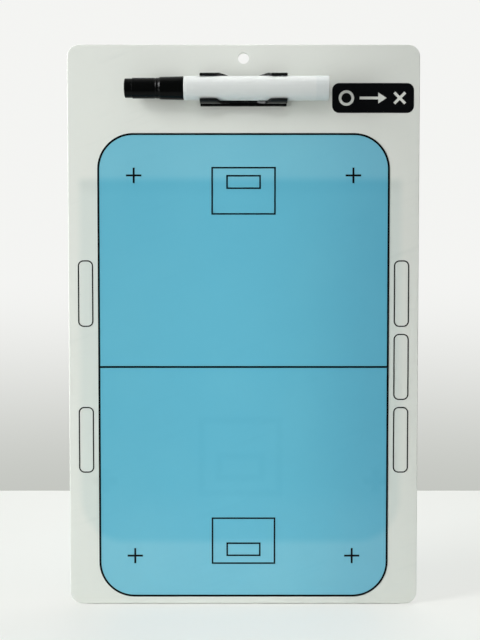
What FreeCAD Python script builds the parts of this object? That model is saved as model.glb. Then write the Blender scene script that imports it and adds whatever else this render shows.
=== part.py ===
import FreeCAD, Part
import math
import os

# Coach's tactics board: a plastic sheet with a court printed on each face, and a marker in a clip.
# Millimetres. The board is read from the front: +X is right, +Z is up, the front face looks along -Y.
# The origin is the centre of the hanging hole, on the rear face of the sheet.

# Sheet
SHEET_WIDTH = 250.0
SHEET_HEIGHT = 400.0
SHEET_THICKNESS = 3.0
SHEET_CORNER_RADIUS = 8.5
SHEET_EDGE_ROUND = 0.5
HANGING_HOLE_DIAMETER = 8.0
HANGING_HOLE_DROP = 9.5  # from the top edge to the hole's centre

# Printing
INK_THICKNESS = 0.1

# Front court: it fills the sheet between the header, the footer and the bench columns
COURT_HEADER = 62.2
COURT_FOOTER = 5.0
COURT_CORNER_RADIUS = 25.5
COURT_LINE = 1.4
FRONT_GOAL_LINE = 1.1
FRONT_GOAL_WIDTH = 45.8
FRONT_GOAL_DEPTH = 33.8
FRONT_GOAL_SETBACK = 22.5  # from the border line to the goal area
FRONT_KEEPER_WIDTH = 24.6
FRONT_KEEPER_DEPTH = 9.9
FRONT_KEEPER_SETBACK = 4.6  # from the goal area's line to the goalkeeper area
FRONT_CROSS_SPAN = 11.0
FRONT_CROSS_LINE = 1.35
FRONT_CROSS_SIDE_INSET = 25.9  # from the court's edges to a cross's centre
FRONT_CROSS_END_INSET = 29.9

# Bench outlines in the side margins, level with the centre line
BENCH_EDGE_GAP = 6.75  # from the sheet's edge to the outline
BENCH_WIDTH = 10.9
BENCH_COURT_GAP = 3.35  # from the outline to the court
BENCH_LENGTH = 47.5
BENCH_CORNER_RADIUS = 4.0
BENCH_LINE = 0.85
BENCH_PITCH = 52.5
BENCH_STEPS_LEFT = (-1, 1)  # places along the column, in pitches from the centre line
BENCH_STEPS_RIGHT = (-1, 0, 1)

# Badge: a dark plate with a ring, an arrow and a cross left open in it
BADGE_WIDTH = 58.0
BADGE_HEIGHT = 21.0
BADGE_CORNER_RADIUS = 5.0
BADGE_EDGE_GAP = 4.2  # from the sheet's right edge
BADGE_DROP = 37.5  # from the top edge to the badge's centre
BADGE_MARGIN = 4.6
BADGE_MARK_SIZE = 11.0
BADGE_MARK_STROKE = 2.0
BADGE_MARK_GAP = 3.8
BADGE_ARROW_HEAD_LENGTH = 6.0
BADGE_ARROW_HEAD_WIDTH = 8.0

# Rear half court
HALF_SIDE_MARGIN = 10.5
HALF_SHIFT = -2.2  # how far the print sits off the sheet's middle, along X
HALF_HEADER = 94.5
HALF_FOOTER = 45.3
HALF_CORNER_RADIUS = 32.0
HALF_LINE = 1.3
REAR_GOAL_LINE = 1.1
REAR_GOAL_WIDTH = 55.7
REAR_GOAL_DEPTH = 52.6
REAR_GOAL_SETBACK = 33.7
REAR_KEEPER_WIDTH = 30.5
REAR_KEEPER_DEPTH = 15.5
REAR_KEEPER_SETBACK = 10.1
REAR_CROSS_SPAN = 13.0
REAR_CROSS_LINE = 1.3
REAR_CROSS_SIDE_INSET = 17.3
REAR_CROSS_END_INSET = 43.9

# Clip: a channel that lies along X, open to the front, with the walls scooped out in the middle
CLIP_DROP = 33.0  # from the top edge to the marker's axis
CLIP_LENGTH = 61.0
CLIP_BASE_WIDTH = 21.0
CLIP_BASE_THICKNESS = 2.0
CLIP_WALL = 1.85
CLIP_WRAP_ANGLE = 25.0  # how far the fingers curl past the marker's side, in degrees
CLIP_CLEARANCE = 0.22
SCOOP_BOTTOM_LENGTH = 24.0
SCOOP_TOP_LENGTH = 39.3
SCOOP_FLOOR = 5.5  # height of the scooped walls above the sheet
SCOOP_ROUND = 12.0

# Rivets, with countersunk heads in the clip's floor and washers behind the sheet
RIVET_PITCH = 36.0
RIVET_SHANK_DIAMETER = 3.2
RIVET_HEAD_DIAMETER = 6.0
RIVET_HEAD_HEIGHT = 1.3
RIVET_SINK = 0.1
RIVET_TAIL_DIAMETER = 5.6
RIVET_TAIL_HEIGHT = 1.1
RIVET_TAIL_CHAMFER = 0.5
RIVET_FIT = 0.05
WASHER_DIAMETER = 8.0
WASHER_THICKNESS = 0.8

# Marker barrel, with its nib end towards -X
BARREL_LEAD = 10.0  # how far the barrel stands out of the clip at its nib end
BARREL_LENGTH = 99.7
BARREL_FRONT_DIAMETER = 16.5
BARREL_FLARE = 0.22  # growth of the radius from the nib end to the rear end
BARREL_WALL = 1.45
MARKER_EDGE = 0.4
MARKER_FIT = 0.05

# End plug
PLUG_RECESS = 0.5
PLUG_DEPTH = 9.0
PLUG_WALL = 1.2
PLUG_END_WALL = 1.5
PLUG_POST_DIAMETER = 4.0
PLUG_POST_REACH = 5.0

# Nib holder, nib and reservoir
FLANGE_THICKNESS = 1.0
FLANGE_STEP = 0.1
SPIGOT_LENGTH = 11.0
SPIGOT_WALL = 0.6
WEB_DEPTH = 0.5
NOSE_LENGTH = 11.5
NOSE_WALL = 0.8
NIB_DIAMETER = 5.0
NIB_SHOW = 6.5
NIB_TIP_LENGTH = 4.0
NIB_TAIL = 6.0
SLEEVE_THICKNESS = 0.2

# Cap
CAP_GAP = 0.2  # between the cap's rim and the holder's flange
CAP_LENGTH = 41.0
CAP_RIM_STEP = 0.2  # from the barrel's front radius down to the rim's
CAP_SKIRT_LENGTH = 16.15
CAP_SKIRT_TAPER = 0.43
CAP_SHOULDER_LENGTH = 1.3
CAP_SHOULDER_STEP = 0.57
CAP_GROOVE_GAP = 1.5
CAP_GROOVE_WIDTH = 1.4
CAP_GROOVE_DEPTH = 0.2
CAP_GROOVE_RAMP = 0.5  # run of the groove's slope towards the rim
CAP_COLLAR_LENGTH = 5.2
CAP_COLLAR_STEP = 0.4
CAP_WALL = 0.95
CAP_CHAMBER_WALL = 1.2
CAP_END_WALL = 2.2
CAP_BORE_LAND = 1.0
CAP_FIT = 0.1
SEAT_END_GAP = 0.5
NOSE_GAP = 0.3
LINER_LENGTH = 18.0
LINER_FLOOR = 1.0
SEAL_GAP = 0.15

# A cutter reaches this many times past what it cuts
OVERREACH = 2.0

# Places worked out from the sizes
FRONT = -SHEET_THICKNESS
REAR = 0.0
TOP_EDGE = HANGING_HOLE_DROP
BOTTOM_EDGE = TOP_EDGE - SHEET_HEIGHT
SHEET_BOX = (-SHEET_WIDTH / 2, SHEET_WIDTH / 2, BOTTOM_EDGE, TOP_EDGE)
BENCH_COLUMN = BENCH_EDGE_GAP + BENCH_WIDTH + BENCH_COURT_GAP
COURT_BOX = (
    -SHEET_WIDTH / 2 + BENCH_COLUMN,
    SHEET_WIDTH / 2 - BENCH_COLUMN,
    BOTTOM_EDGE + COURT_FOOTER,
    TOP_EDGE - COURT_HEADER,
)
COURT_MIDDLE = (COURT_BOX[2] + COURT_BOX[3]) / 2
HALF_BOX = (
    HALF_SHIFT - SHEET_WIDTH / 2 + HALF_SIDE_MARGIN,
    HALF_SHIFT + SHEET_WIDTH / 2 - HALF_SIDE_MARGIN,
    BOTTOM_EDGE + HALF_FOOTER,
    TOP_EDGE - HALF_HEADER,
)

# Stations along the marker
BARREL_FRONT = -CLIP_LENGTH / 2 - BARREL_LEAD
BARREL_REAR = BARREL_FRONT + BARREL_LENGTH
FLANGE_FRONT = BARREL_FRONT - FLANGE_THICKNESS
WEB_REAR = BARREL_FRONT + WEB_DEPTH
CAP_RIM = FLANGE_FRONT - CAP_GAP
CAP_TIP = CAP_RIM - CAP_LENGTH
SKIRT_FRONT = CAP_RIM - CAP_SKIRT_LENGTH
CAP_BORE_END = SKIRT_FRONT + CAP_BORE_LAND
SEAT_FRONT = CAP_BORE_END + SEAT_END_GAP
NOSE_TIP = SEAT_FRONT - NOSE_LENGTH
CHAMBER_END = CAP_TIP + CAP_END_WALL
LINER_MOUTH = CHAMBER_END + LINER_LENGTH
PLUG_REAR = BARREL_REAR - PLUG_RECESS
PLUG_FRONT = PLUG_REAR - PLUG_DEPTH
RESERVOIR_REAR = PLUG_FRONT - PLUG_POST_REACH

# Radii of the marker, from the barrel inwards
BARREL_FRONT_RADIUS = BARREL_FRONT_DIAMETER / 2
BARREL_REAR_RADIUS = BARREL_FRONT_RADIUS + BARREL_FLARE
BARREL_BORE_RADIUS = BARREL_FRONT_RADIUS - BARREL_WALL
PLUGGED_RADIUS = BARREL_BORE_RADIUS - MARKER_FIT
SPIGOT_BORE_RADIUS = PLUGGED_RADIUS - SPIGOT_WALL
SLEEVE_RADIUS = SPIGOT_BORE_RADIUS - MARKER_FIT
SLEEVE_BORE_RADIUS = SLEEVE_RADIUS - SLEEVE_THICKNESS
RESERVOIR_RADIUS = SLEEVE_BORE_RADIUS - MARKER_FIT
NIB_RADIUS = NIB_DIAMETER / 2
NIB_BORE_RADIUS = NIB_RADIUS + MARKER_FIT
NOSE_RADIUS = NIB_BORE_RADIUS + NOSE_WALL

# Radii of the cap, from the rim to the tip and then inwards
CAP_RIM_RADIUS = BARREL_FRONT_RADIUS - CAP_RIM_STEP
CAP_SKIRT_RADIUS = CAP_RIM_RADIUS - CAP_SKIRT_TAPER
CAP_BODY_RADIUS = CAP_SKIRT_RADIUS - CAP_SHOULDER_STEP
CAP_COLLAR_RADIUS = CAP_BODY_RADIUS - CAP_COLLAR_STEP
CAP_BORE_RADIUS = CAP_SKIRT_RADIUS - CAP_WALL
CHAMBER_RADIUS = CAP_COLLAR_RADIUS - CAP_CHAMBER_WALL
SEAT_RADIUS = CAP_BORE_RADIUS - CAP_FIT
NOSE_ROOT_RADIUS = CHAMBER_RADIUS - NOSE_GAP


def barrel_radius(x):
    """Outer radius of the tapered barrel at a station."""
    return BARREL_FRONT_RADIUS + BARREL_FLARE * (x - BARREL_FRONT) / BARREL_LENGTH


# The clip is bored for the widest part of the barrel that it holds
CLIP_BORE_RADIUS = max(barrel_radius(-CLIP_LENGTH / 2), barrel_radius(CLIP_LENGTH / 2)) + CLIP_CLEARANCE
CLIP_OUTER_RADIUS = CLIP_BORE_RADIUS + CLIP_WALL
MARKER_Y = FRONT - CLIP_BASE_THICKNESS - CLIP_BORE_RADIUS
MARKER_Z = TOP_EDGE - CLIP_DROP
RIVET_HEAD_Y = FRONT - CLIP_BASE_THICKNESS + RIVET_SINK
WASHER_REAR = REAR + WASHER_THICKNESS


def box_around(x, z, width, height):
    """Limits (left, right, bottom, top) of a rectangle about its centre."""
    return (x - width / 2, x + width / 2, z - height / 2, z + height / 2)


def inset(box, margin):
    """The same rectangle drawn in by a margin on every side."""
    left, right, bottom, top = box
    return (left + margin, right - margin, bottom + margin, top - margin)


def outline(box, lower_radius, upper_radius):
    """Closed wire of straight sides and corner arcs in the XZ plane; radius 0 is a sharp corner."""
    left, right, bottom, top = box
    corners = [
        (FreeCAD.Vector(left, 0, bottom), lower_radius),
        (FreeCAD.Vector(right, 0, bottom), lower_radius),
        (FreeCAD.Vector(right, 0, top), upper_radius),
        (FreeCAD.Vector(left, 0, top), upper_radius),
    ]
    bends = []
    for index, (corner, radius) in enumerate(corners):
        coming = (corner - corners[index - 1][0]).normalize()
        going = (corners[(index + 1) % len(corners)][0] - corner).normalize()
        middle = corner + (going - coming) * (radius * (1 - math.sqrt(0.5)))
        bends.append((corner - coming * radius, middle, corner + going * radius, radius))
    edges = []
    for index, (start, middle, end, radius) in enumerate(bends):
        edges.append(Part.LineSegment(bends[index - 1][2], start).toShape())
        if radius > 0:
            edges.append(Part.Arc(start, middle, end).toShape())
    return Part.Wire(edges)


def plate(box, layer, lower_radius=0.0, upper_radius=None):
    """Flat plate in the XZ plane between the two depths of a layer."""
    if upper_radius is None:
        upper_radius = lower_radius
    near, far = layer
    face = Part.Face(outline(box, lower_radius, upper_radius))
    face.translate(FreeCAD.Vector(0, near, 0))
    return face.extrude(FreeCAD.Vector(0, far - near, 0))


def line_frame(box, layer, line, lower_radius=0.0, upper_radius=None):
    """Outline of a rectangle as a line of constant width, inside the rectangle."""
    if upper_radius is None:
        upper_radius = lower_radius
    hole = plate(inset(box, line), layer, max(lower_radius - line, 0.0), max(upper_radius - line, 0.0))
    return plate(box, layer, lower_radius, upper_radius).cut(hole)


def cross(x, z, span, line, layer):
    """Upright cross of two equal bars."""
    upright = plate(box_around(x, z, line, span), layer)
    return upright.fuse(plate(box_around(x, z, span, line), layer)).removeSplitter()


def front_layer(level):
    """Depths of an ink layer on the front face; level 0 lies on the sheet."""
    return (FRONT - level * INK_THICKNESS, FRONT - (level + 1) * INK_THICKNESS)


def rear_layer(level):
    """Depths of an ink layer on the rear face; level 0 lies on the sheet."""
    return (REAR + level * INK_THICKNESS, REAR + (level + 1) * INK_THICKNESS)


def lathe(profile, base, axis, radial):
    """Solid of revolution of a closed profile of (station, radius) points.

    A point given as ((station, radius), (station, radius)) ends an arc: its first pair is on the arc.
    """

    def place(point):
        return base + axis * point[0] + radial * point[1]

    edges = []
    start = place(profile[0])
    for point in profile[1:] + profile[:1]:
        if isinstance(point[0], tuple):
            end = place(point[1])
            edges.append(Part.Arc(start, place(point[0]), end).toShape())
        else:
            end = place(point)
            edges.append(Part.LineSegment(start, end).toShape())
        start = end
    return Part.Face(Part.Wire(edges)).revolve(base, axis, 360)


def marker_lathe(profile):
    """Solid of revolution about the marker's axis, with stations along X."""
    base = FreeCAD.Vector(0, MARKER_Y, MARKER_Z)
    return lathe(profile, base, FreeCAD.Vector(1, 0, 0), FreeCAD.Vector(0, 0, 1))


def rivet_lathe(profile, x):
    """Solid of revolution about a rivet's axis, with stations along Y."""
    base = FreeCAD.Vector(x, 0, MARKER_Z)
    return lathe(profile, base, FreeCAD.Vector(0, 1, 0), FreeCAD.Vector(1, 0, 0))


def rivet_places():
    """X of each rivet."""
    return (-RIVET_PITCH / 2, RIVET_PITCH / 2)


def rivet(x):
    """Countersunk head, shank and formed tail."""
    head = RIVET_HEAD_DIAMETER / 2
    shank = RIVET_SHANK_DIAMETER / 2
    tail = RIVET_TAIL_DIAMETER / 2
    tail_rear = WASHER_REAR + RIVET_TAIL_HEIGHT
    return rivet_lathe([
        (RIVET_HEAD_Y, 0),
        (RIVET_HEAD_Y, head),
        (RIVET_HEAD_Y + RIVET_HEAD_HEIGHT, shank),
        (WASHER_REAR, shank),
        (WASHER_REAR, tail),
        (tail_rear - RIVET_TAIL_CHAMFER, tail),
        (tail_rear, tail - RIVET_TAIL_CHAMFER),
        (tail_rear, 0),
    ], x)


def rivet_hole(x):
    """Room for a rivet: its head and shank with clearance, open to the clip's channel."""
    head = RIVET_HEAD_DIAMETER / 2 + RIVET_FIT
    shank = RIVET_SHANK_DIAMETER / 2 + RIVET_FIT
    return rivet_lathe([
        (MARKER_Y, 0),
        (MARKER_Y, head),
        (RIVET_HEAD_Y, head),
        (RIVET_HEAD_Y + RIVET_HEAD_HEIGHT, shank),
        (WASHER_REAR * OVERREACH, shank),
        (WASHER_REAR * OVERREACH, 0),
    ], x)


def washer(x):
    """Flat washer behind the sheet."""
    hole = RIVET_SHANK_DIAMETER / 2 + RIVET_FIT
    outer = WASHER_DIAMETER / 2
    return rivet_lathe([(REAR, hole), (REAR, outer), (WASHER_REAR, outer), (WASHER_REAR, hole)], x)


def board_sheet():
    """Sheet with rounded corners and edges, the hanging hole and the rivet holes."""
    sheet = plate(SHEET_BOX, (REAR, FRONT), SHEET_CORNER_RADIUS)
    rims = [edge for edge in sheet.Edges if edge.BoundBox.YLength < SHEET_THICKNESS / 2]
    sheet = sheet.makeFillet(SHEET_EDGE_ROUND, rims)
    hole = Part.makeCylinder(
        HANGING_HOLE_DIAMETER / 2,
        SHEET_THICKNESS * (1 + OVERREACH),
        FreeCAD.Vector(0, FRONT * OVERREACH, 0),
        FreeCAD.Vector(0, 1, 0),
    )
    return sheet.cut([hole] + [rivet_hole(x) for x in rivet_places()])


def front_court_border():
    """Border line with round corners, and the centre line across it."""
    layer = front_layer(1)
    border = line_frame(COURT_BOX, layer, COURT_LINE, COURT_CORNER_RADIUS)
    left, right = COURT_BOX[:2]
    centre = plate(box_around(0, COURT_MIDDLE, right - left - COURT_LINE, COURT_LINE), layer)
    return border.fuse(centre).removeSplitter()


def front_goal_areas():
    """Goal area and goalkeeper area at each end, mirrored about the centre line."""
    layer = front_layer(1)
    goal_line = COURT_BOX[3] - COURT_LINE - FRONT_GOAL_SETBACK
    keeper_line = goal_line - FRONT_GOAL_LINE - FRONT_KEEPER_SETBACK
    goal_z = goal_line - FRONT_GOAL_DEPTH / 2
    keeper_z = keeper_line - FRONT_KEEPER_DEPTH / 2
    frames = []
    for end in (1, -1):
        goal_middle = COURT_MIDDLE + end * (goal_z - COURT_MIDDLE)
        keeper_middle = COURT_MIDDLE + end * (keeper_z - COURT_MIDDLE)
        goal = box_around(0, goal_middle, FRONT_GOAL_WIDTH, FRONT_GOAL_DEPTH)
        keeper = box_around(0, keeper_middle, FRONT_KEEPER_WIDTH, FRONT_KEEPER_DEPTH)
        frames.append(line_frame(goal, layer, FRONT_GOAL_LINE))
        frames.append(line_frame(keeper, layer, FRONT_GOAL_LINE))
    return Part.makeCompound(frames)


def front_faceoff_crosses():
    """Four crosses, one near each corner of the court."""
    left, right, bottom, top = COURT_BOX
    crosses = []
    for x in (left + FRONT_CROSS_SIDE_INSET, right - FRONT_CROSS_SIDE_INSET):
        for z in (bottom + FRONT_CROSS_END_INSET, top - FRONT_CROSS_END_INSET):
            crosses.append(cross(x, z, FRONT_CROSS_SPAN, FRONT_CROSS_LINE, front_layer(1)))
    return Part.makeCompound(crosses)


def bench_outlines():
    """Rounded outlines in the two side margins."""
    middle = SHEET_WIDTH / 2 - BENCH_EDGE_GAP - BENCH_WIDTH / 2
    columns = ((-middle, BENCH_STEPS_LEFT), (middle, BENCH_STEPS_RIGHT))
    frames = []
    for x, steps in columns:
        for step in steps:
            box = box_around(x, COURT_MIDDLE + step * BENCH_PITCH, BENCH_WIDTH, BENCH_LENGTH)
            frames.append(line_frame(box, front_layer(0), BENCH_LINE, BENCH_CORNER_RADIUS))
    return Part.makeCompound(frames)


def badge_ring(x, z, layer):
    """Ring as a cutter through the badge."""
    near, far = layer
    start = FreeCAD.Vector(x, near, z)
    along = FreeCAD.Vector(0, far - near, 0)
    outer = Part.makeCylinder(BADGE_MARK_SIZE / 2, along.Length, start, along)
    return outer.cut(Part.makeCylinder(BADGE_MARK_SIZE / 2 - BADGE_MARK_STROKE, along.Length, start, along))


def badge_cross(x, z, layer):
    """Diagonal cross as a cutter through the badge."""
    shape = cross(x, z, BADGE_MARK_SIZE, BADGE_MARK_STROKE, layer)
    shape.rotate(FreeCAD.Vector(x, 0, z), FreeCAD.Vector(0, 1, 0), 45)
    return shape


def badge_arrow(x, z, length, layer):
    """Arrow that points to +X, as a cutter through the badge."""
    near, far = layer
    tip = x + length / 2
    neck = tip - BADGE_ARROW_HEAD_LENGTH
    half_shaft = BADGE_MARK_STROKE / 2
    half_head = BADGE_ARROW_HEAD_WIDTH / 2
    corners = [
        (x - length / 2, z - half_shaft),
        (neck, z - half_shaft),
        (neck, z - half_head),
        (tip, z),
        (neck, z + half_head),
        (neck, z + half_shaft),
        (x - length / 2, z + half_shaft),
    ]
    points = [FreeCAD.Vector(corner_x, near, corner_z) for corner_x, corner_z in corners]
    return Part.Face(Part.makePolygon(points + points[:1])).extrude(FreeCAD.Vector(0, far - near, 0))


def corner_badge():
    """Dark rounded plate with a ring, an arrow and a diagonal cross left open in it."""
    x = SHEET_WIDTH / 2 - BADGE_EDGE_GAP - BADGE_WIDTH / 2
    z = TOP_EDGE - BADGE_DROP
    mark_offset = BADGE_WIDTH / 2 - BADGE_MARGIN - BADGE_MARK_SIZE / 2
    arrow_length = 2 * (mark_offset - BADGE_MARK_SIZE / 2 - BADGE_MARK_GAP)
    layer = front_layer(0)
    badge = plate(box_around(x, z, BADGE_WIDTH, BADGE_HEIGHT), layer, BADGE_CORNER_RADIUS)
    return badge.cut([
        badge_ring(x - mark_offset, z, layer),
        badge_arrow(x, z, arrow_length, layer),
        badge_cross(x + mark_offset, z, layer),
    ])


def rear_goal_area():
    """Goal area and goalkeeper area of the half court, near its lower end."""
    layer = rear_layer(1)
    goal_line = HALF_BOX[2] + HALF_LINE + REAR_GOAL_SETBACK
    keeper_line = goal_line + REAR_GOAL_LINE + REAR_KEEPER_SETBACK
    goal = box_around(HALF_SHIFT, goal_line + REAR_GOAL_DEPTH / 2, REAR_GOAL_WIDTH, REAR_GOAL_DEPTH)
    keeper_middle = keeper_line + REAR_KEEPER_DEPTH / 2
    keeper = box_around(HALF_SHIFT, keeper_middle, REAR_KEEPER_WIDTH, REAR_KEEPER_DEPTH)
    return Part.makeCompound([line_frame(box, layer, REAR_GOAL_LINE) for box in (goal, keeper)])


def rear_faceoff_crosses():
    """Two crosses near the lower corners of the half court."""
    left, right, bottom = HALF_BOX[:3]
    crosses = []
    for x in (left + REAR_CROSS_SIDE_INSET, right - REAR_CROSS_SIDE_INSET):
        z = bottom + REAR_CROSS_END_INSET
        crosses.append(cross(x, z, REAR_CROSS_SPAN, REAR_CROSS_LINE, rear_layer(1)))
    return Part.makeCompound(crosses)


def clip_cylinder(radius, centre_y=MARKER_Y, centre_z=MARKER_Z):
    """Cylinder along the whole clip."""
    start = FreeCAD.Vector(-CLIP_LENGTH / 2, centre_y, centre_z)
    return Part.makeCylinder(radius, CLIP_LENGTH, start, FreeCAD.Vector(1, 0, 0))


def clip_mouth():
    """Wedge in front of the marker's axis that opens the channel between the finger tips."""
    reach = CLIP_OUTER_RADIUS * OVERREACH
    half_height = reach * math.tan(math.radians(90 - CLIP_WRAP_ANGLE))
    start = -CLIP_LENGTH / 2
    points = [
        FreeCAD.Vector(start, MARKER_Y, MARKER_Z),
        FreeCAD.Vector(start, MARKER_Y - reach, MARKER_Z + half_height),
        FreeCAD.Vector(start, MARKER_Y - reach, MARKER_Z - half_height),
    ]
    return Part.Face(Part.makePolygon(points + points[:1])).extrude(FreeCAD.Vector(CLIP_LENGTH, 0, 0))


def clip_scoop(lip_front):
    """Sloped cut that lowers both walls between the two pairs of fingers."""
    floor_y = FRONT - SCOOP_FLOOR
    far_y = lip_front - CLIP_OUTER_RADIUS
    half_height = CLIP_OUTER_RADIUS * OVERREACH
    corners = [
        (-SCOOP_BOTTOM_LENGTH / 2, floor_y),
        (SCOOP_BOTTOM_LENGTH / 2, floor_y),
        (SCOOP_TOP_LENGTH / 2, lip_front),
        (SCOOP_TOP_LENGTH / 2, far_y),
        (-SCOOP_TOP_LENGTH / 2, far_y),
        (-SCOOP_TOP_LENGTH / 2, lip_front),
    ]
    points = [FreeCAD.Vector(x, y, MARKER_Z - half_height) for x, y in corners]
    face = Part.Face(Part.makePolygon(points + points[:1]))
    scoop = face.extrude(FreeCAD.Vector(0, 0, 2 * half_height))
    floor_edges = [
        edge
        for edge in scoop.Edges
        if edge.BoundBox.ZLength > half_height and edge.BoundBox.YMax > (floor_y + lip_front) / 2
    ]
    return scoop.makeFillet(SCOOP_ROUND, floor_edges)


def marker_clip():
    """Moulded channel: flat base, round walls with rolled finger tips, scooped middle, rivet holes."""
    corner = FreeCAD.Vector(-CLIP_LENGTH / 2, FRONT - CLIP_BASE_THICKNESS, MARKER_Z - CLIP_BASE_WIDTH / 2)
    base = Part.makeBox(CLIP_LENGTH, CLIP_BASE_THICKNESS, CLIP_BASE_WIDTH, corner)
    behind = Part.makeBox(
        CLIP_LENGTH,
        CLIP_OUTER_RADIUS,
        CLIP_OUTER_RADIUS * OVERREACH,
        FreeCAD.Vector(-CLIP_LENGTH / 2, FRONT, MARKER_Z - CLIP_OUTER_RADIUS),
    )
    walls = clip_cylinder(CLIP_OUTER_RADIUS).cut([clip_mouth(), behind])
    body = base.fuse(walls).cut(clip_cylinder(CLIP_BORE_RADIUS))
    tip_circle = CLIP_BORE_RADIUS + CLIP_WALL / 2
    tip_y = MARKER_Y - tip_circle * math.sin(math.radians(CLIP_WRAP_ANGLE))
    tip_rise = tip_circle * math.cos(math.radians(CLIP_WRAP_ANGLE))
    tips = [clip_cylinder(CLIP_WALL / 2, tip_y, MARKER_Z + side * tip_rise) for side in (1, -1)]
    scoop = clip_scoop(tip_y - CLIP_WALL / 2)
    clip = body.fuse(tips).cut([scoop] + [rivet_hole(x) for x in rivet_places()])
    return clip.removeSplitter()


def marker_barrel():
    """Tapered tube with broken outer edges."""
    return marker_lathe([
        (BARREL_FRONT, BARREL_BORE_RADIUS),
        (BARREL_FRONT, BARREL_FRONT_RADIUS - MARKER_EDGE),
        (BARREL_FRONT + MARKER_EDGE, BARREL_FRONT_RADIUS),
        (BARREL_REAR - MARKER_EDGE, BARREL_REAR_RADIUS),
        (BARREL_REAR, BARREL_REAR_RADIUS - MARKER_EDGE),
        (BARREL_REAR, BARREL_BORE_RADIUS),
    ])


def marker_end_plug():
    """Cup pressed into the barrel's rear end, with a post that holds the reservoir forward."""
    inner_face = PLUG_REAR - PLUG_END_WALL
    post = PLUG_POST_DIAMETER / 2
    return marker_lathe([
        (PLUG_REAR, 0),
        (PLUG_REAR, PLUGGED_RADIUS - MARKER_EDGE),
        (PLUG_REAR - MARKER_EDGE, PLUGGED_RADIUS),
        (PLUG_FRONT, PLUGGED_RADIUS),
        (PLUG_FRONT, PLUGGED_RADIUS - PLUG_WALL),
        (inner_face, PLUGGED_RADIUS - PLUG_WALL),
        (inner_face, post),
        (RESERVOIR_REAR, post),
        (RESERVOIR_REAR, 0),
    ])


def ink_reservoir():
    """Fibre rod from the holder's web to the plug's post, with a blind hole for the nib's tail."""
    hole_end = WEB_REAR + NIB_TAIL + MARKER_FIT
    return marker_lathe([
        (WEB_REAR, NIB_BORE_RADIUS),
        (WEB_REAR, RESERVOIR_RADIUS),
        (RESERVOIR_REAR, RESERVOIR_RADIUS),
        (RESERVOIR_REAR, 0),
        (hole_end, 0),
        (hole_end, NIB_BORE_RADIUS),
    ])


def reservoir_sleeve():
    """Thin film tube round the rod."""
    return marker_lathe([
        (WEB_REAR, SLEEVE_BORE_RADIUS),
        (WEB_REAR, SLEEVE_RADIUS),
        (RESERVOIR_REAR, SLEEVE_RADIUS),
        (RESERVOIR_REAR, SLEEVE_BORE_RADIUS),
    ])


def nib_holder():
    """Nose cone, cap seat, flange and the hollow spigot that plugs the barrel's front end."""
    spigot_end = BARREL_FRONT + SPIGOT_LENGTH
    flange = BARREL_FRONT_RADIUS - FLANGE_STEP
    return marker_lathe([
        (NOSE_TIP, NIB_BORE_RADIUS),
        (NOSE_TIP, NOSE_RADIUS),
        (SEAT_FRONT, NOSE_ROOT_RADIUS),
        (SEAT_FRONT, SEAT_RADIUS - MARKER_EDGE),
        (SEAT_FRONT + MARKER_EDGE, SEAT_RADIUS),
        (FLANGE_FRONT, SEAT_RADIUS),
        (FLANGE_FRONT, flange),
        (BARREL_FRONT, flange),
        (BARREL_FRONT, PLUGGED_RADIUS),
        (spigot_end, PLUGGED_RADIUS),
        (spigot_end, SPIGOT_BORE_RADIUS),
        (WEB_REAR, SPIGOT_BORE_RADIUS),
        (WEB_REAR, NIB_BORE_RADIUS),
    ])


def marker_nib():
    """Round rod with an ogive tip: an arc that is tangent to the rod and meets the axis."""
    tip = NOSE_TIP - NIB_SHOW
    shoulder = tip + NIB_TIP_LENGTH
    arc_radius = (NIB_TIP_LENGTH**2 + NIB_RADIUS**2) / (2 * NIB_RADIUS)
    half_angle = math.asin(NIB_TIP_LENGTH / arc_radius) / 2
    on_arc = (
        shoulder - arc_radius * math.sin(half_angle),
        NIB_RADIUS - arc_radius * (1 - math.cos(half_angle)),
    )
    tail = WEB_REAR + NIB_TAIL
    return marker_lathe([(tip, 0), (on_arc, (shoulder, NIB_RADIUS)), (tail, NIB_RADIUS), (tail, 0)])


def cap_shell():
    """Cap with a stepped collar, a groove, a shoulder and a flared skirt."""
    shoulder_front = SKIRT_FRONT - CAP_SHOULDER_LENGTH
    groove_rear = shoulder_front - CAP_GROOVE_GAP
    groove_front = groove_rear - CAP_GROOVE_WIDTH
    groove_floor = CAP_BODY_RADIUS - CAP_GROOVE_DEPTH
    collar_rear = CAP_TIP + CAP_COLLAR_LENGTH
    return marker_lathe([
        (CAP_TIP, 0),
        (CAP_TIP, CAP_COLLAR_RADIUS - MARKER_EDGE),
        (CAP_TIP + MARKER_EDGE, CAP_COLLAR_RADIUS),
        (collar_rear, CAP_COLLAR_RADIUS),
        (collar_rear + CAP_COLLAR_STEP, CAP_BODY_RADIUS),
        (groove_front, CAP_BODY_RADIUS),
        (groove_front + CAP_GROOVE_DEPTH, groove_floor),
        (groove_rear - CAP_GROOVE_RAMP, groove_floor),
        (groove_rear, CAP_BODY_RADIUS),
        (shoulder_front, CAP_BODY_RADIUS),
        (SKIRT_FRONT, CAP_SKIRT_RADIUS),
        (CAP_RIM - MARKER_EDGE, CAP_RIM_RADIUS),
        (CAP_RIM, CAP_RIM_RADIUS - MARKER_EDGE),
        (CAP_RIM, CAP_BORE_RADIUS),
        (CAP_BORE_END, CAP_BORE_RADIUS),
        (CAP_BORE_END, CHAMBER_RADIUS),
        (CHAMBER_END, CHAMBER_RADIUS),
        (CHAMBER_END, 0),
    ])


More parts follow.
